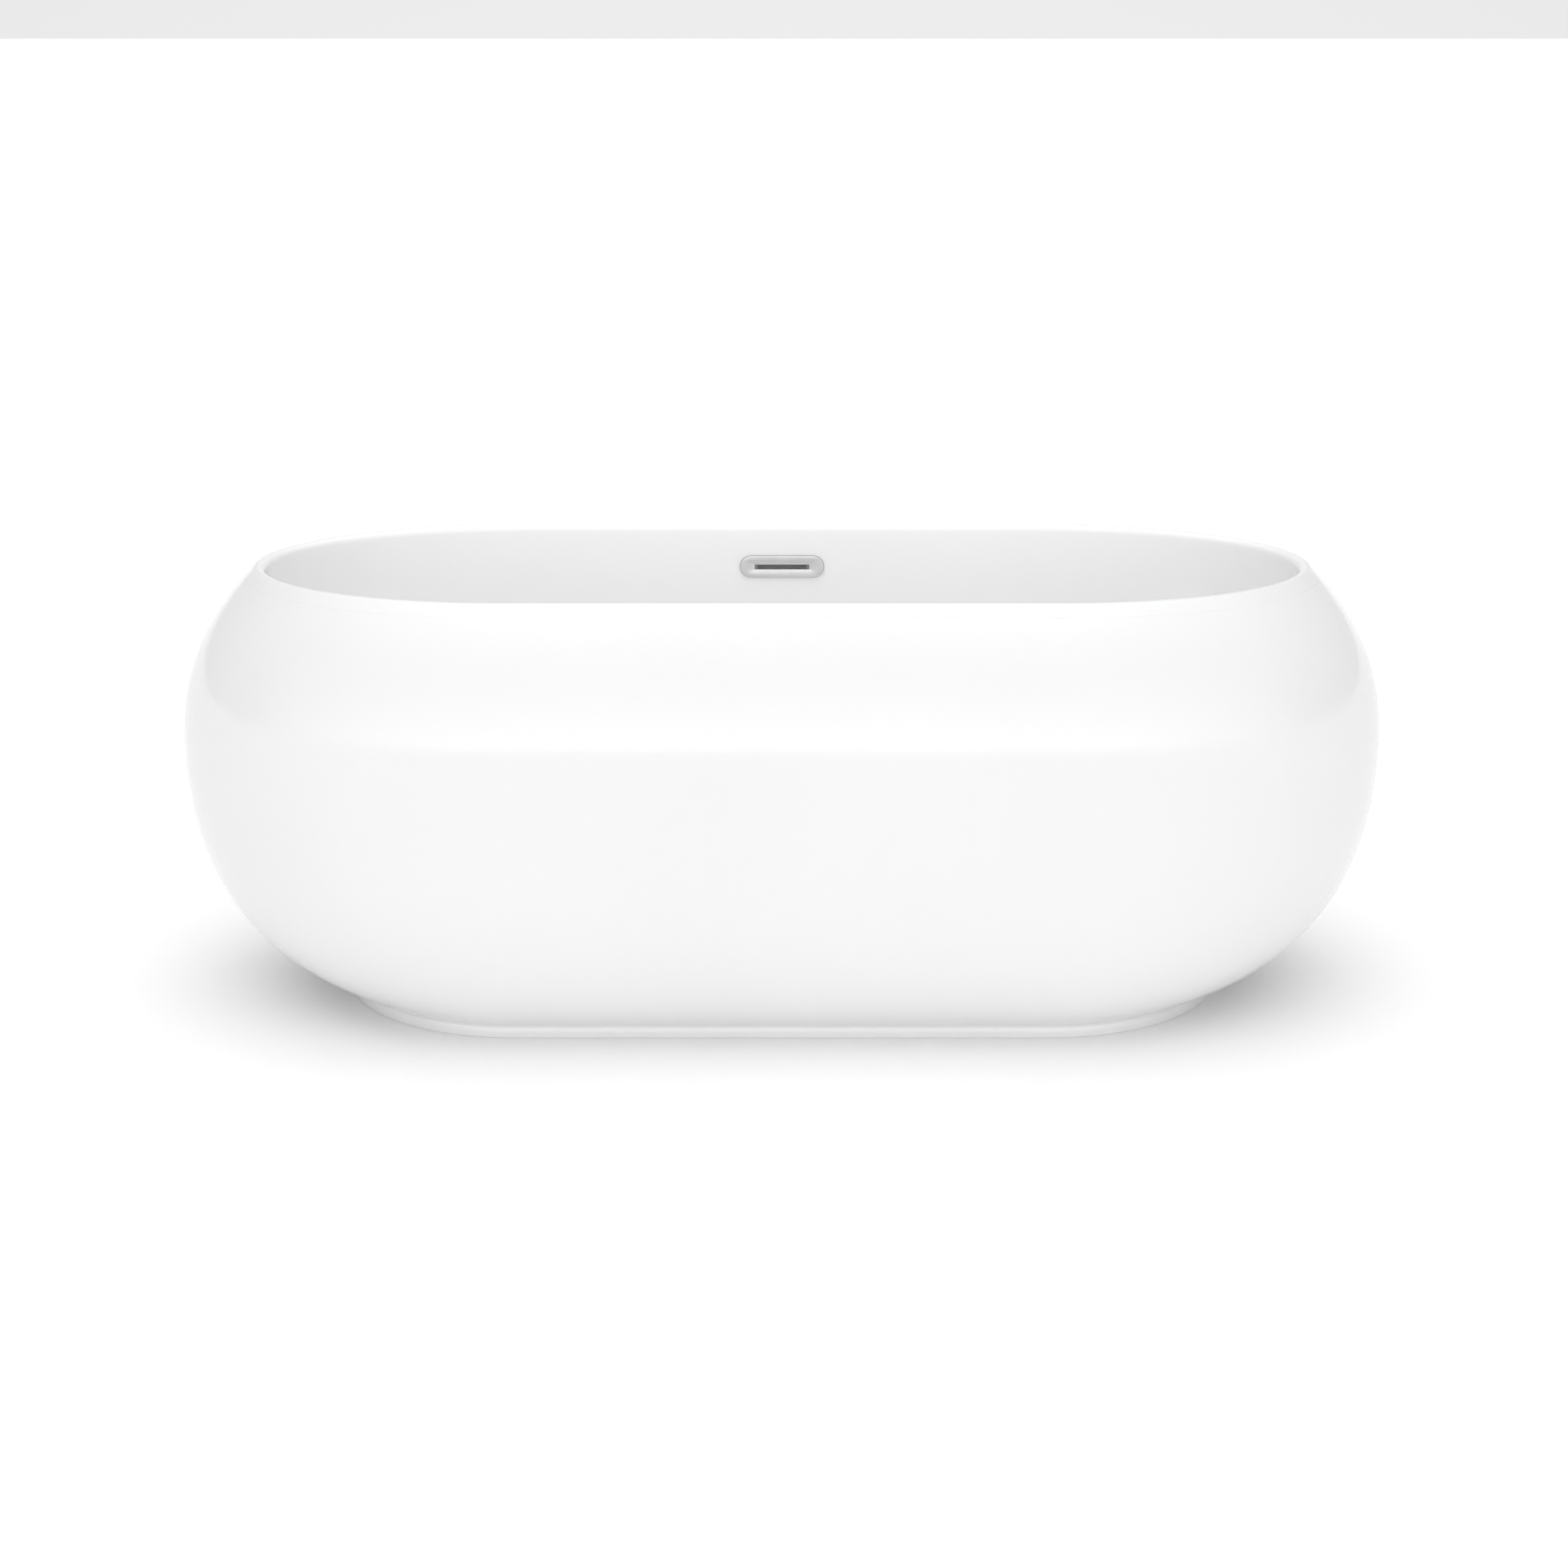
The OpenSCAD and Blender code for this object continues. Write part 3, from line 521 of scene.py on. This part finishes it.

# ---- Skirt and basin ---------------------------------------------------------------------------

# Material slots of the two shells. LIP dresses the basin's outer lip in the skirt's darker tone, so the
# step between the painted-shade and painted-light tones falls at the seam.
FRONT, BACK, LIP = 0, 1, 2

# The plinth: its rounded edge at the floor, the flange turned in under it and the dish of its face.
PLINTH_EDGE = 1.5 * MM
FLANGE = 26 * MM
FLANGE_STEP = 3 * MM
FACE_DISH = 2 * MM
FACE_END = 7 * MM


def skirt_stations():
    """Stations of the skirt from the seam down the outside, round the foot and up the inside."""
    edge = PLINTH_EDGE
    crease = [bezier(underbelly, 0.985), base, grow(base, -0.6 * MM, PLINTH - 2.2 * MM)]
    fillet = [
        (1 - t) ** 2 * crease[0] + 2 * t * (1 - t) * crease[1] + t * t * crease[2]
        for t in spread(0, 1, 7)
    ]
    outside = [inset(shoulder, t, 0) for t in spread(SEAM + SEAM_GAP, 1, 46)]
    outside += [bezier(underbelly, t) for t in spread(0.02, 0.97, 48)]
    outside += fillet
    outside += [
        grow(base, -FACE_DISH + FACE_DISH * (0.5 - 0.5 * math.cos(math.pi * t)), z)
        for t, z in zip(spread(0.35, 1, 7), spread(PLINTH - 3.2 * MM, FACE_END, 7))
    ]
    outside += [grow(base, 0, 4 * MM)]
    outside += [
        grow(base, -edge * (1 - math.cos(math.radians(a))), edge * (1 - math.sin(math.radians(a))))
        for a in spread(0, 90, 6)
    ]
    inside = [
        grow(base, -FLANGE, 0),
        grow(base, -FLANGE, SKIRT_WALL),
        grow(base, -SKIRT_WALL - FLANGE_STEP, SKIRT_WALL),
        grow(base, -SKIRT_WALL - FLANGE_STEP, PLINTH + 2 * MM),
    ]
    inside += [inset(underbelly, t, SKIRT_WALL) for t in spread(0.96, 0.04, 24)]
    inside += [inset(shoulder, t, SKIRT_WALL) for t in spread(1, SEAM + 0.05, 24)]
    inside += [
        inset(shoulder, SEAM, TONGUE_FACE + TONGUE_WALL),
        inset(shoulder, TONGUE_TOP, TONGUE_FACE + TONGUE_WALL),
        inset(shoulder, TONGUE_TOP, TONGUE_FACE),
        inset(shoulder, SEAM + SEAM_GAP, TONGUE_FACE),
    ]
    return outside, inside


def make_skirt():
    outside, inside = skirt_stations()
    rings = [outline(s) for s in outside + inside]
    slots = [FRONT] * len(outside) + [BACK] * len(inside)
    # The skirt's outside wears the acrylic's darker painted-shade tone.
    piece = Shape().skin(rings, slots=slots).make("skirt_shell", [looks["skirt"], looks["laminate"]])
    return stand_in(piece, "root", "skirt_acrylic", "outer_skirt")


# The drain's place in the basin's floor: the hole, the flange's recess and its softened edge.
HOLE = 25.5 * MM
RECESS = 37 * MM
RECESS_EDGE = 1.2 * MM


def round_station(radius, z):
    return station(radius, radius, z, 0)


def recess_edge(degrees):
    a = math.radians(degrees)
    return round_station(
        RECESS + RECESS_EDGE * (1 - math.cos(a)),
        floor_z - RECESS_EDGE + RECESS_EDGE * math.sin(a),
    )


def basin_stations():
    """Stations of the basin from the drain up to the crest, down the outer lip, and down the back."""
    floor_start = round_station(RECESS + RECESS_EDGE, floor_z)
    inside = [round_station(HOLE, floor_underside), round_station(HOLE, seat_z)]
    inside += [round_station(RECESS, seat_z), round_station(RECESS, floor_z - RECESS_EDGE)]
    inside += [recess_edge(degrees) for degrees in (25, 45, 65, 90)]
    inside += [floor_start + (floor_edge - floor_start) * t**1.3 for t in spread(0.04, 0.98, 22)]
    inside += [bezier(basin_inside, t) for t in spread(1, 0.01, 96)]
    inside += [roll(RIM_RADIUS, a) for a in spread(180, 90, 15)]
    lip = [roll(RIM_RADIUS, a) for a in spread(84, ROLL_END, 7)]
    lip += [bezier(shoulder, t) for t in spread(0.01, SEAM, 6)]
    back = [inset(shoulder, SEAM, BASIN_WALL), inset(shoulder, 0, BASIN_WALL)]
    back += [roll(RIM_RADIUS - BASIN_WALL, a) for a in spread(ROLL_END + 10, 135, 8)]
    back += [bezier(basin_outside, t) for t in spread(0, 1, 56)]
    return inside, lip, back


# The overflow's own frame lies on the rear wall: X along the tub, Y into the wall, Z up along it.
OVERFLOW_DROP = 0.064
overflow_t = at_height(basin_inside, rim_z - OVERFLOW_DROP)
overflow_at = bezier(basin_inside, overflow_t)
overflow_run = bezier_slope(basin_inside, overflow_t)
wall_lean = math.atan2(overflow_run[1], overflow_run[2]) + math.pi
on_wall = Matrix.Translation((0, overflow_at[1], overflow_at[2])) @ Matrix.Rotation(-wall_lean, 4, "X")


def slot_outline(length, height, corner, y, steps=10):
    """A rounded rectangle in the overflow's frame, in millimetres, counterclockwise seen from -Y."""
    points = []
    for sx, sz, start in ((1, -1, -90), (1, 1, 0), (-1, 1, 90), (-1, -1, 180)):
        for i in range(steps + 1):
            a = math.radians(start + 90 * i / steps)
            x = sx * (length / 2 - corner) + corner * math.cos(a)
            z = sz * (height / 2 - corner) + corner * math.sin(a)
            points.append((x * MM, y * MM, z * MM))
    return np.array(points)


def pill(length, height, y):
    return slot_outline(length, height, height / 2, y)


def cut(piece, rings):
    """Takes the block between the rings, which are in the overflow's frame, out of a piece."""
    cutter = Shape().skin(rings, closed=False, place=on_wall).make("cutter", [])
    boolean = piece.modifiers.new("cut", "BOOLEAN")
    boolean.object = cutter
    boolean.solver = "EXACT"
    bpy.context.view_layer.objects.active = piece
    bpy.ops.object.modifier_apply(modifier=boolean.name)
    bpy.data.objects.remove(cutter)


# The stepped cut-out through the basin's wall: each step's length, height and depth range, in millimetres.
CUT_OUT = ((128, 34, 0.8, -10), (112, 20, 20, -10), (137, 43, 14.4, 4.4))


def make_basin():
    inside, lip, back = basin_stations()
    rings = [outline(s) for s in inside + lip + back]
    slots = [FRONT] * len(inside) + [LIP] * len(lip) + [BACK] * len(back)
    # The basin's inside wears the acrylic's lighter painted-light tone, and its outer lip wears the skirt's
    # painted-shade tone.
    layers = [looks["basin"], looks["laminate"], looks["skirt"]]
    piece = Shape().skin(rings, slots=slots).make("basin_shell", layers)
    for length, height, far, near in CUT_OUT:
        cut(piece, [pill(length, height, far), pill(length, height, near)])
    finish_shading(piece.data, 32)
    return stand_in(piece, "root", "basin_acrylic", "inner_basin")


def make_bond():
    """The bead of adhesive that joins the basin to the skirt behind the seam."""
    hairline = 0.04 * MM
    near, far = BASIN_WALL + hairline, TONGUE_FACE - hairline
    steps = spread(TONGUE_TOP, SEAM, 6)
    rings = [outline(inset(shoulder, t, near)) for t in steps]
    rings += [outline(inset(shoulder, t, far)) for t in reversed(steps)]
    piece = Shape().skin(rings).make("rim_adhesive", [looks["adhesive"]])
    return stand_in(piece, "root", "adhesive", "rim_bond")


# ---- Overflow ----------------------------------------------------------------------------------

# In millimetres, in the overflow's own frame.
COVER_LENGTH, COVER_HEIGHT = 127, 33
SLOT_LENGTH, SLOT_HEIGHT, SLOT_CORNER = 82, 7, 0.4
COVER_FRONT, COVER_BACK = -4, -0.7
COVER_FILLET = 1.0
SCREW_X, SCREW_BORE = 50, 2.05
BOSS_RADIUS, BOSS_DEPTH, BOSS_ROOT = 4, 7.4, -1.0


def make_cover():
    """The cover plate: rounded outer edge, softly broken slot edge, and a boss for each screw."""
    steps = 16
    rings = [slot_outline(COVER_LENGTH, COVER_HEIGHT, COVER_HEIGHT / 2, COVER_BACK, steps)]
    for a in spread(0, 90, 7):
        shrink = 2 * COVER_FILLET * (1 - math.cos(math.radians(a)))
        y = COVER_FRONT + COVER_FILLET * (1 - math.sin(math.radians(a)))
        height = COVER_HEIGHT - shrink
        rings.append(slot_outline(COVER_LENGTH - shrink, height, height / 2, y, steps))
    for growth, y in ((0.7, 0), (0.35, 0.08), (0.1, 0.3), (0, 0.7)):
        length, height, corner = SLOT_LENGTH + growth, SLOT_HEIGHT + growth, SLOT_CORNER + growth / 2
        rings.append(slot_outline(length, height, corner, COVER_FRONT + y, steps))
    rings.append(slot_outline(SLOT_LENGTH, SLOT_HEIGHT, SLOT_CORNER, COVER_BACK, steps))
    shape = Shape().skin(rings, place=on_wall)
    boss = [
        (SCREW_BORE, BOSS_DEPTH, 0),
        (BOSS_RADIUS, BOSS_DEPTH, 0.4),
        (BOSS_RADIUS, BOSS_ROOT, 0),
        (SCREW_BORE, BOSS_ROOT, 0),
    ]
    for x in (-SCREW_X, SCREW_X):
        turn = on_wall @ Matrix.Translation((x * MM, 0, 0)) @ Matrix.Rotation(math.radians(-90), 4, "X")
        shape.skin(turned(boss, steps=32), place=turn)
    piece = shape.make("overflow_cover_plate", [looks["satin"]])
    return stand_in(piece, "root", "satin_metal", "overflow_cover")


# ---- Hose --------------------------------------------------------------------------------------

HOSE_OUT, HOSE_IN = 16.95 * MM, 15 * MM
OUTLET_Y, OUTLET_Z = 29 * MM, -36 * MM
BEND = 90 * MM
PORT_Y, PORT_Z = 40 * MM, 68 * MM
CUFF = 28 * MM
RIB_PITCH = 6 * MM
RIB_DEPTH = 1.5 * MM


def hose_places():
    """Even steps along the hose: (length so far, whole length, middle, direction across in its plane)."""
    start = np.array(on_wall @ Vector((0, OUTLET_Y, OUTLET_Z)))[1:]
    bend_z = PORT_Z + BEND * (1 - math.sin(wall_lean))
    drop = (start[1] - bend_z) / math.cos(wall_lean)
    turn_y = start[0] - drop * math.sin(wall_lean)
    centre = np.array([turn_y - BEND * math.cos(wall_lean), PORT_Z + BEND])
    arc = BEND * (math.pi / 2 - wall_lean)
    run = centre[0] - PORT_Y
    total = drop + arc + run
    places = []
    count = 6 * round(total / RIB_PITCH)
    for i in range(count + 1):
        s = total * i / count
        a = wall_lean + min(max((s - drop) / BEND, 0), arc / BEND)
        across = np.array([math.cos(a), -math.sin(a)])
        if s < drop:
            middle = start + s * np.array([-math.sin(wall_lean), -math.cos(wall_lean)])
        elif s < drop + arc:
            middle = centre + BEND * across
        else:
            middle = centre + BEND * np.array([0, -1]) - np.array([s - drop - arc, 0])
        places.append((s, total, middle, across))
    return places


def hose_ring(middle, across, radius, sides=40):
    a = np.arange(sides) * 2 * math.pi / sides
    out = radius * np.sin(a)
    return np.stack([radius * np.cos(a), middle[0] + across[0] * out, middle[1] + across[1] * out], 1)


def make_hose():
    """Convoluted waste hose with a plain cuff at each end."""
    outer, inner = [], []
    for s, total, middle, across in hose_places():
        rib = min(max((min(s, total - s) - CUFF) / RIB_PITCH, 0), 1)
        fold = rib * RIB_DEPTH * (0.5 - 0.5 * math.cos(2 * math.pi * s / RIB_PITCH))
        outer.append(hose_ring(middle, across, HOSE_OUT - fold))
        inner.append(hose_ring(middle, across, HOSE_IN - fold * 0.8))
    piece = Shape().skin(outer + inner[::-1]).make("overflow_hose_tube", [looks["hose"]], sharp=60)
    return stand_in(piece, "root", "hose_plastic", "overflow_hose")


# ---- Stopper -----------------------------------------------------------------------------------

# In millimetres.
DOME_RISE = 5.6
STEM_SOCKET = 4.05
SOCKET_DEPTH = 1.0


def make_stopper():
    """Domed cap with a rolled edge, on a boss that carries the seal."""
    low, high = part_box("stopper_cap")
    seal_low, seal_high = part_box("stopper_seal")
    radius, top, boss_z = high.x / MM, high.z / MM, low.z / MM
    edge_z = top - DOME_RISE
    sphere = (radius**2 + DOME_RISE**2) / (2 * DOME_RISE)
    seal_z = (seal_low.z + seal_high.z) / 2 / MM
    wire = (seal_high.z - seal_low.z) / 2 / MM
    boss = (seal_high.x / MM - wire) - 1
    crown = [
        (sphere * math.sin(a), top - sphere + sphere * math.cos(a), 0)
        for a in spread(0, math.asin((radius - 1) / sphere), 20)
    ]
    edge = [(radius, crown[-1][1] - 0.45, 0.3), (radius, edge_z, 0.25), (boss + 3, edge_z, 0)]
    under = [(boss, edge_z, 0.4), (boss, seal_z - wire, 0), (boss, boss_z, 0.4)]
    socket = [
        (STEM_SOCKET, boss_z, 0.2),
        (STEM_SOCKET, edge_z + SOCKET_DEPTH, 0),
        (0, edge_z + SOCKET_DEPTH, 0),
    ]
    shape = Shape().skin(turned(crown + edge + under + socket, steps=128))
    piece = shape.make("stopper_dome", [looks["chrome"]], sharp=50)
    return stand_in(piece, "stopper", "chrome", "stopper_cap")


def make_spring():
    """Five turns of round wire. It joins the root to the stopper."""
    low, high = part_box("stopper_spring")
    wire = 0.4 * MM
    coil = high.x - wire
    turns, steps, sides = 5, 200, 12
    height = (high.z - low.z) - 2 * wire
    rings = []
    for i in range(steps + 1):
        u = i / steps
        a = 2 * math.pi * turns * u
        rise = low.z + wire + height * u
        b = np.arange(sides) * 2 * math.pi / sides
        r = coil + wire * np.cos(b)
        rings.append(np.stack([r * math.cos(a), r * math.sin(a), rise + wire * np.sin(b)], 1))
    piece = Shape().skin(rings, closed=False).make("stopper_coil", [looks["zinc"]], sharp=60)
    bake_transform(piece)
    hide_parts("stopper_spring")


# ---- Feet --------------------------------------------------------------------------------------

THREAD_PITCH = 1.75 * MM
THREAD_DEPTH = 1.0 * MM
THREAD_STEPS = 9
TIP_CHAMFER = 0.6 * MM
SHANK = 5.95 * MM
HEX_LOW, HEX_HIGH, HEX_CORNER = 24 * MM, 30 * MM, 9.2 * MM
# The stud's foot and neck, in millimetres.
FOOT_RADIUS, FOOT_HEIGHT = 9, 6.5
NECK_RADIUS, NECK_TOP = 5.6, 24.5
CORNERS = ("front_left", "front_right", "rear_left", "rear_right")


def thread(x, y, low, high, radius, sides=28):
    """Rings of a right-handed screw thread: ridge is 1 on its crest and 0 in its root, and it fades in."""
    rings = []
    steps = round((high - low) / THREAD_PITCH * THREAD_STEPS)
    a = np.arange(sides) * 2 * math.pi / sides
    for i in range(steps + 1):
        z = low + (high - low) * i / steps
        phase = (z / THREAD_PITCH - a / (2 * math.pi)) % 1
        ridge = np.clip(1.35 * np.abs(2 * phase - 1) - 0.12, 0, 1)
        fade = min(1, (z - low) / THREAD_PITCH, (high - z) / THREAD_PITCH + 0.35)
        chamfer = TIP_CHAMFER * max(0, 1 - (high - z) / MM)
        r = radius - THREAD_DEPTH * (1 - ridge) * fade - chamfer
        rings.append(np.stack([x + r * np.cos(a), y + r * np.sin(a), np.full(sides, z)], 1))
    return rings


def hex_rings(x, y, low, high, corner):
    """A hexagon with its corners chamfered off, top and bottom."""
    half_side = math.pi / 6
    a = np.radians(np.arange(0, 360, 7.5))
    flat = corner * math.cos(half_side)
    reach = flat / np.cos((a + half_side) % (math.pi / 3) - half_side)
    chamfer = ((0, flat * 0.97), (0.5 * MM, flat * 1.09), (0.9 * MM, corner))
    levels = [(low + rise, most) for rise, most in chamfer]
    levels += [(high - rise, most) for rise, most in reversed(chamfer)]
    rings = []
    for z, most in levels:
        r = np.minimum(reach, most)
        rings.append(np.stack([x + r * np.cos(a), y + r * np.sin(a), np.full(len(a), z)], 1))
    return rings


def make_stud(corner):
    """Levelling stud: a foot in the pad's socket, a hexagon for the spanner and a threaded shank."""
    node = "foot_stud_" + corner
    low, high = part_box(node)
    x, y = (low.x + high.x) / 2, (low.y + high.y) / 2
    bottom = low.z / MM
    foot = [
        (0, bottom, 0),
        (FOOT_RADIUS, bottom, 0.5),
        (FOOT_RADIUS, bottom + FOOT_HEIGHT, 0.5),
        (NECK_RADIUS, bottom + FOOT_HEIGHT, 0.6),
        (NECK_RADIUS, NECK_TOP, 0),
        (0, NECK_TOP, 0),
    ]
    shape = Shape().skin(turned(foot, (x, y), 48))
    shape.skin(hex_rings(x, y, HEX_LOW, HEX_HIGH, HEX_CORNER), closed=False)
    shape.skin(thread(x, y, HEX_HIGH - 0.5 * MM, high.z, SHANK), closed=False)
    piece = shape.make("levelling_" + corner, [looks["zinc"]], sharp=40)
    return stand_in(piece, "stud_" + corner, "zinc", node)


# ---- CAD nodes that keep their shape -----------------------------------------------------------

DRESS = {
    "floor_board": ("plywood", 0.8),
    "frame_rail_front": ("powder", 0.25),
    "frame_rail_rear": ("powder", 0.25),
    "crossbar_left": ("powder", 0.25),
    "crossbar_mid_left": ("powder", 0.25),
    "crossbar_mid_right": ("powder", 0.25),
    "crossbar_right": ("powder", 0.25),
    "tube_end_caps": ("black", 0.35),
    "frame_screws": ("zinc", 0.2),
    "foot_weld_nuts": ("zinc", 0.3),
    "foot_lock_nuts": ("zinc", 0.3),
    "overflow_gasket_front": ("rubber", 0.15),
    "overflow_gasket_rear": ("rubber", 0.3),
    "overflow_body": ("grey", 0.4),
    "overflow_screws": ("zinc", 0.2),
    "hose_clamps": ("zinc", 0.15),
    "drain_flange": ("chrome", 0.3),
    "drain_gasket_top": ("rubber", 0.2),
    "drain_gasket_bottom": ("rubber", 0.4),
    "drain_washer": ("pale", 0.15),
    "drain_lock_nut": ("brass", 0.4),
    "waste_tee": ("black", 0.5),
    "tailpiece": ("chrome", 0.2),
    "tailpiece_nut": ("black", 0.4),
    "tailpiece_washer": ("pale", 0.2),
    "stopper_cartridge": ("brass", 0.2),
    "stopper_stem": ("brass", 0.2),
    "stopper_seal": ("rubber", 0),
}


def dress(node, look, width):
    """Gives a CAD node its material and softly broken edges, without touching its vertices."""
    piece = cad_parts[node]
    mesh = piece.data
    mesh.materials.clear()
    mesh.materials.append(looks[look])
    mesh.polygons.foreach_set("material_index", [0] * len(mesh.polygons))
    if "custom_normal" in mesh.attributes:
        mesh.attributes.remove(mesh.attributes["custom_normal"])
    finish_shading(mesh, 30)
    weld = piece.modifiers.new("weld", "WELD")
    weld.merge_threshold = 1e-5
    if width:
        bevel = piece.modifiers.new("bevel", "BEVEL")
        bevel.width = width * MM
        bevel.segments = 2
        bevel.limit_method = "ANGLE"
        bevel.angle_limit = math.radians(32)
        bevel.harden_normals = True


def dress_cad():
    for node, (look, width) in DRESS.items():
        dress(node, look, width)
    for corner in CORNERS:
        dress("foot_pad_" + corner, "pad", 0.6)
        dress("foot_sole_" + corner, "rubber", 0.5)


# ---- Camera, light and floor -------------------------------------------------------------------

CAMERA_PLACE = (0, -4.0, 1.341)
CAMERA_TILT = 14.81
LENS, SENSOR = 65.9, 36
SIDE_SHIFT = 0.0013
FLOOR_HALF = 300

SOFTBOX_PLACE, SOFTBOX_SIZE, SOFTBOX_WATTS = (0, 0.2, 3.0), (2.4, 1.2), 5

# The surround's strength in a direction (x, y, z) is the sum of these lights.
SURROUND = 0.55
OVERHEAD, OVERHEAD_FOCUS = 1.7, 5
HORIZON, HORIZON_FOCUS = 0.3, 2
FRONT_BAND = 1.85
ENDS = -0.4


def make_camera():
    data = bpy.data.cameras.new("camera")
    data.lens = LENS
    data.sensor_width = SENSOR
    data.shift_x = SIDE_SHIFT
    data.clip_end = 2 * FLOOR_HALF
    camera = bpy.data.objects.new("camera", data)
    camera.location = CAMERA_PLACE
    camera.rotation_euler = (math.radians(90 - CAMERA_TILT), 0, 0)
    bpy.context.scene.collection.objects.link(camera)
    bpy.context.scene.camera = camera


def area_light(name, place, aim, size, watts):
    data = bpy.data.lights.new(name, "AREA")
    data.shape = "RECTANGLE"
    data.size, data.size_y = size
    data.energy = watts
    light = bpy.data.objects.new(name, data)
    light.location = place
    light.rotation_euler = (Vector(aim) - Vector(place)).to_track_quat("-Z", "Y").to_euler()
    bpy.context.scene.collection.objects.link(light)


def make_floor():
    half = FLOOR_HALF
    floor = Shape()
    floor.points = [(-half, -half, 0), (half, -half, 0), (half, half, 0), (-half, half, 0)]
    floor.faces = [(0, 1, 2, 3)]
    floor.slots = [0]
    floor.make("floor", [floor_material()])


def make_world():
    """Soft white surround: a broad light overhead, a low band in front and weaker light from the ends."""
    world = bpy.data.worlds.new("studio")
    world.use_nodes = True
    tree = world.node_tree
    back = tree.nodes["Background"]
    back.inputs["Color"].default_value = (1, 1, 1, 1)
    way = tree.nodes.new("ShaderNodeTexCoord")
    parts = tree.nodes.new("ShaderNodeSeparateXYZ")
    tree.links.new(way.outputs["Generated"], parts.inputs["Vector"])

    def maths(kind, a, b=0):
        return maths_node(tree, kind, a, b)

    height = maths("MAXIMUM", parts.outputs["Z"], 0)
    overhead = maths("MULTIPLY", maths("POWER", height, OVERHEAD_FOCUS), OVERHEAD)
    low = maths("POWER", maths("SUBTRACT", 1, height), HORIZON_FOCUS)
    forward = maths("MAXIMUM", maths("MULTIPLY", parts.outputs["Y"], -1), 0)
    front = maths("MULTIPLY", forward, FRONT_BAND)
    band = maths("MULTIPLY", low, maths("ADD", front, HORIZON))
    ends = maths("MULTIPLY", maths("POWER", maths("ABSOLUTE", parts.outputs["X"]), 2), ENDS)
    total = maths("ADD", maths("ADD", overhead, band), maths("ADD", ends, SURROUND))
    tree.links.new(total, back.inputs["Strength"])
    bpy.context.scene.world = world
    bpy.context.scene.view_settings.view_transform = "Standard"


make_camera()
make_world()
make_floor()
area_light("overhead_softbox", SOFTBOX_PLACE, (0, 0, 0), SOFTBOX_SIZE, SOFTBOX_WATTS)
make_skirt()
make_basin()
make_bond()
make_cover()
make_hose()
make_stopper()
make_spring()
for corner in CORNERS:
    make_stud(corner)
dress_cad()
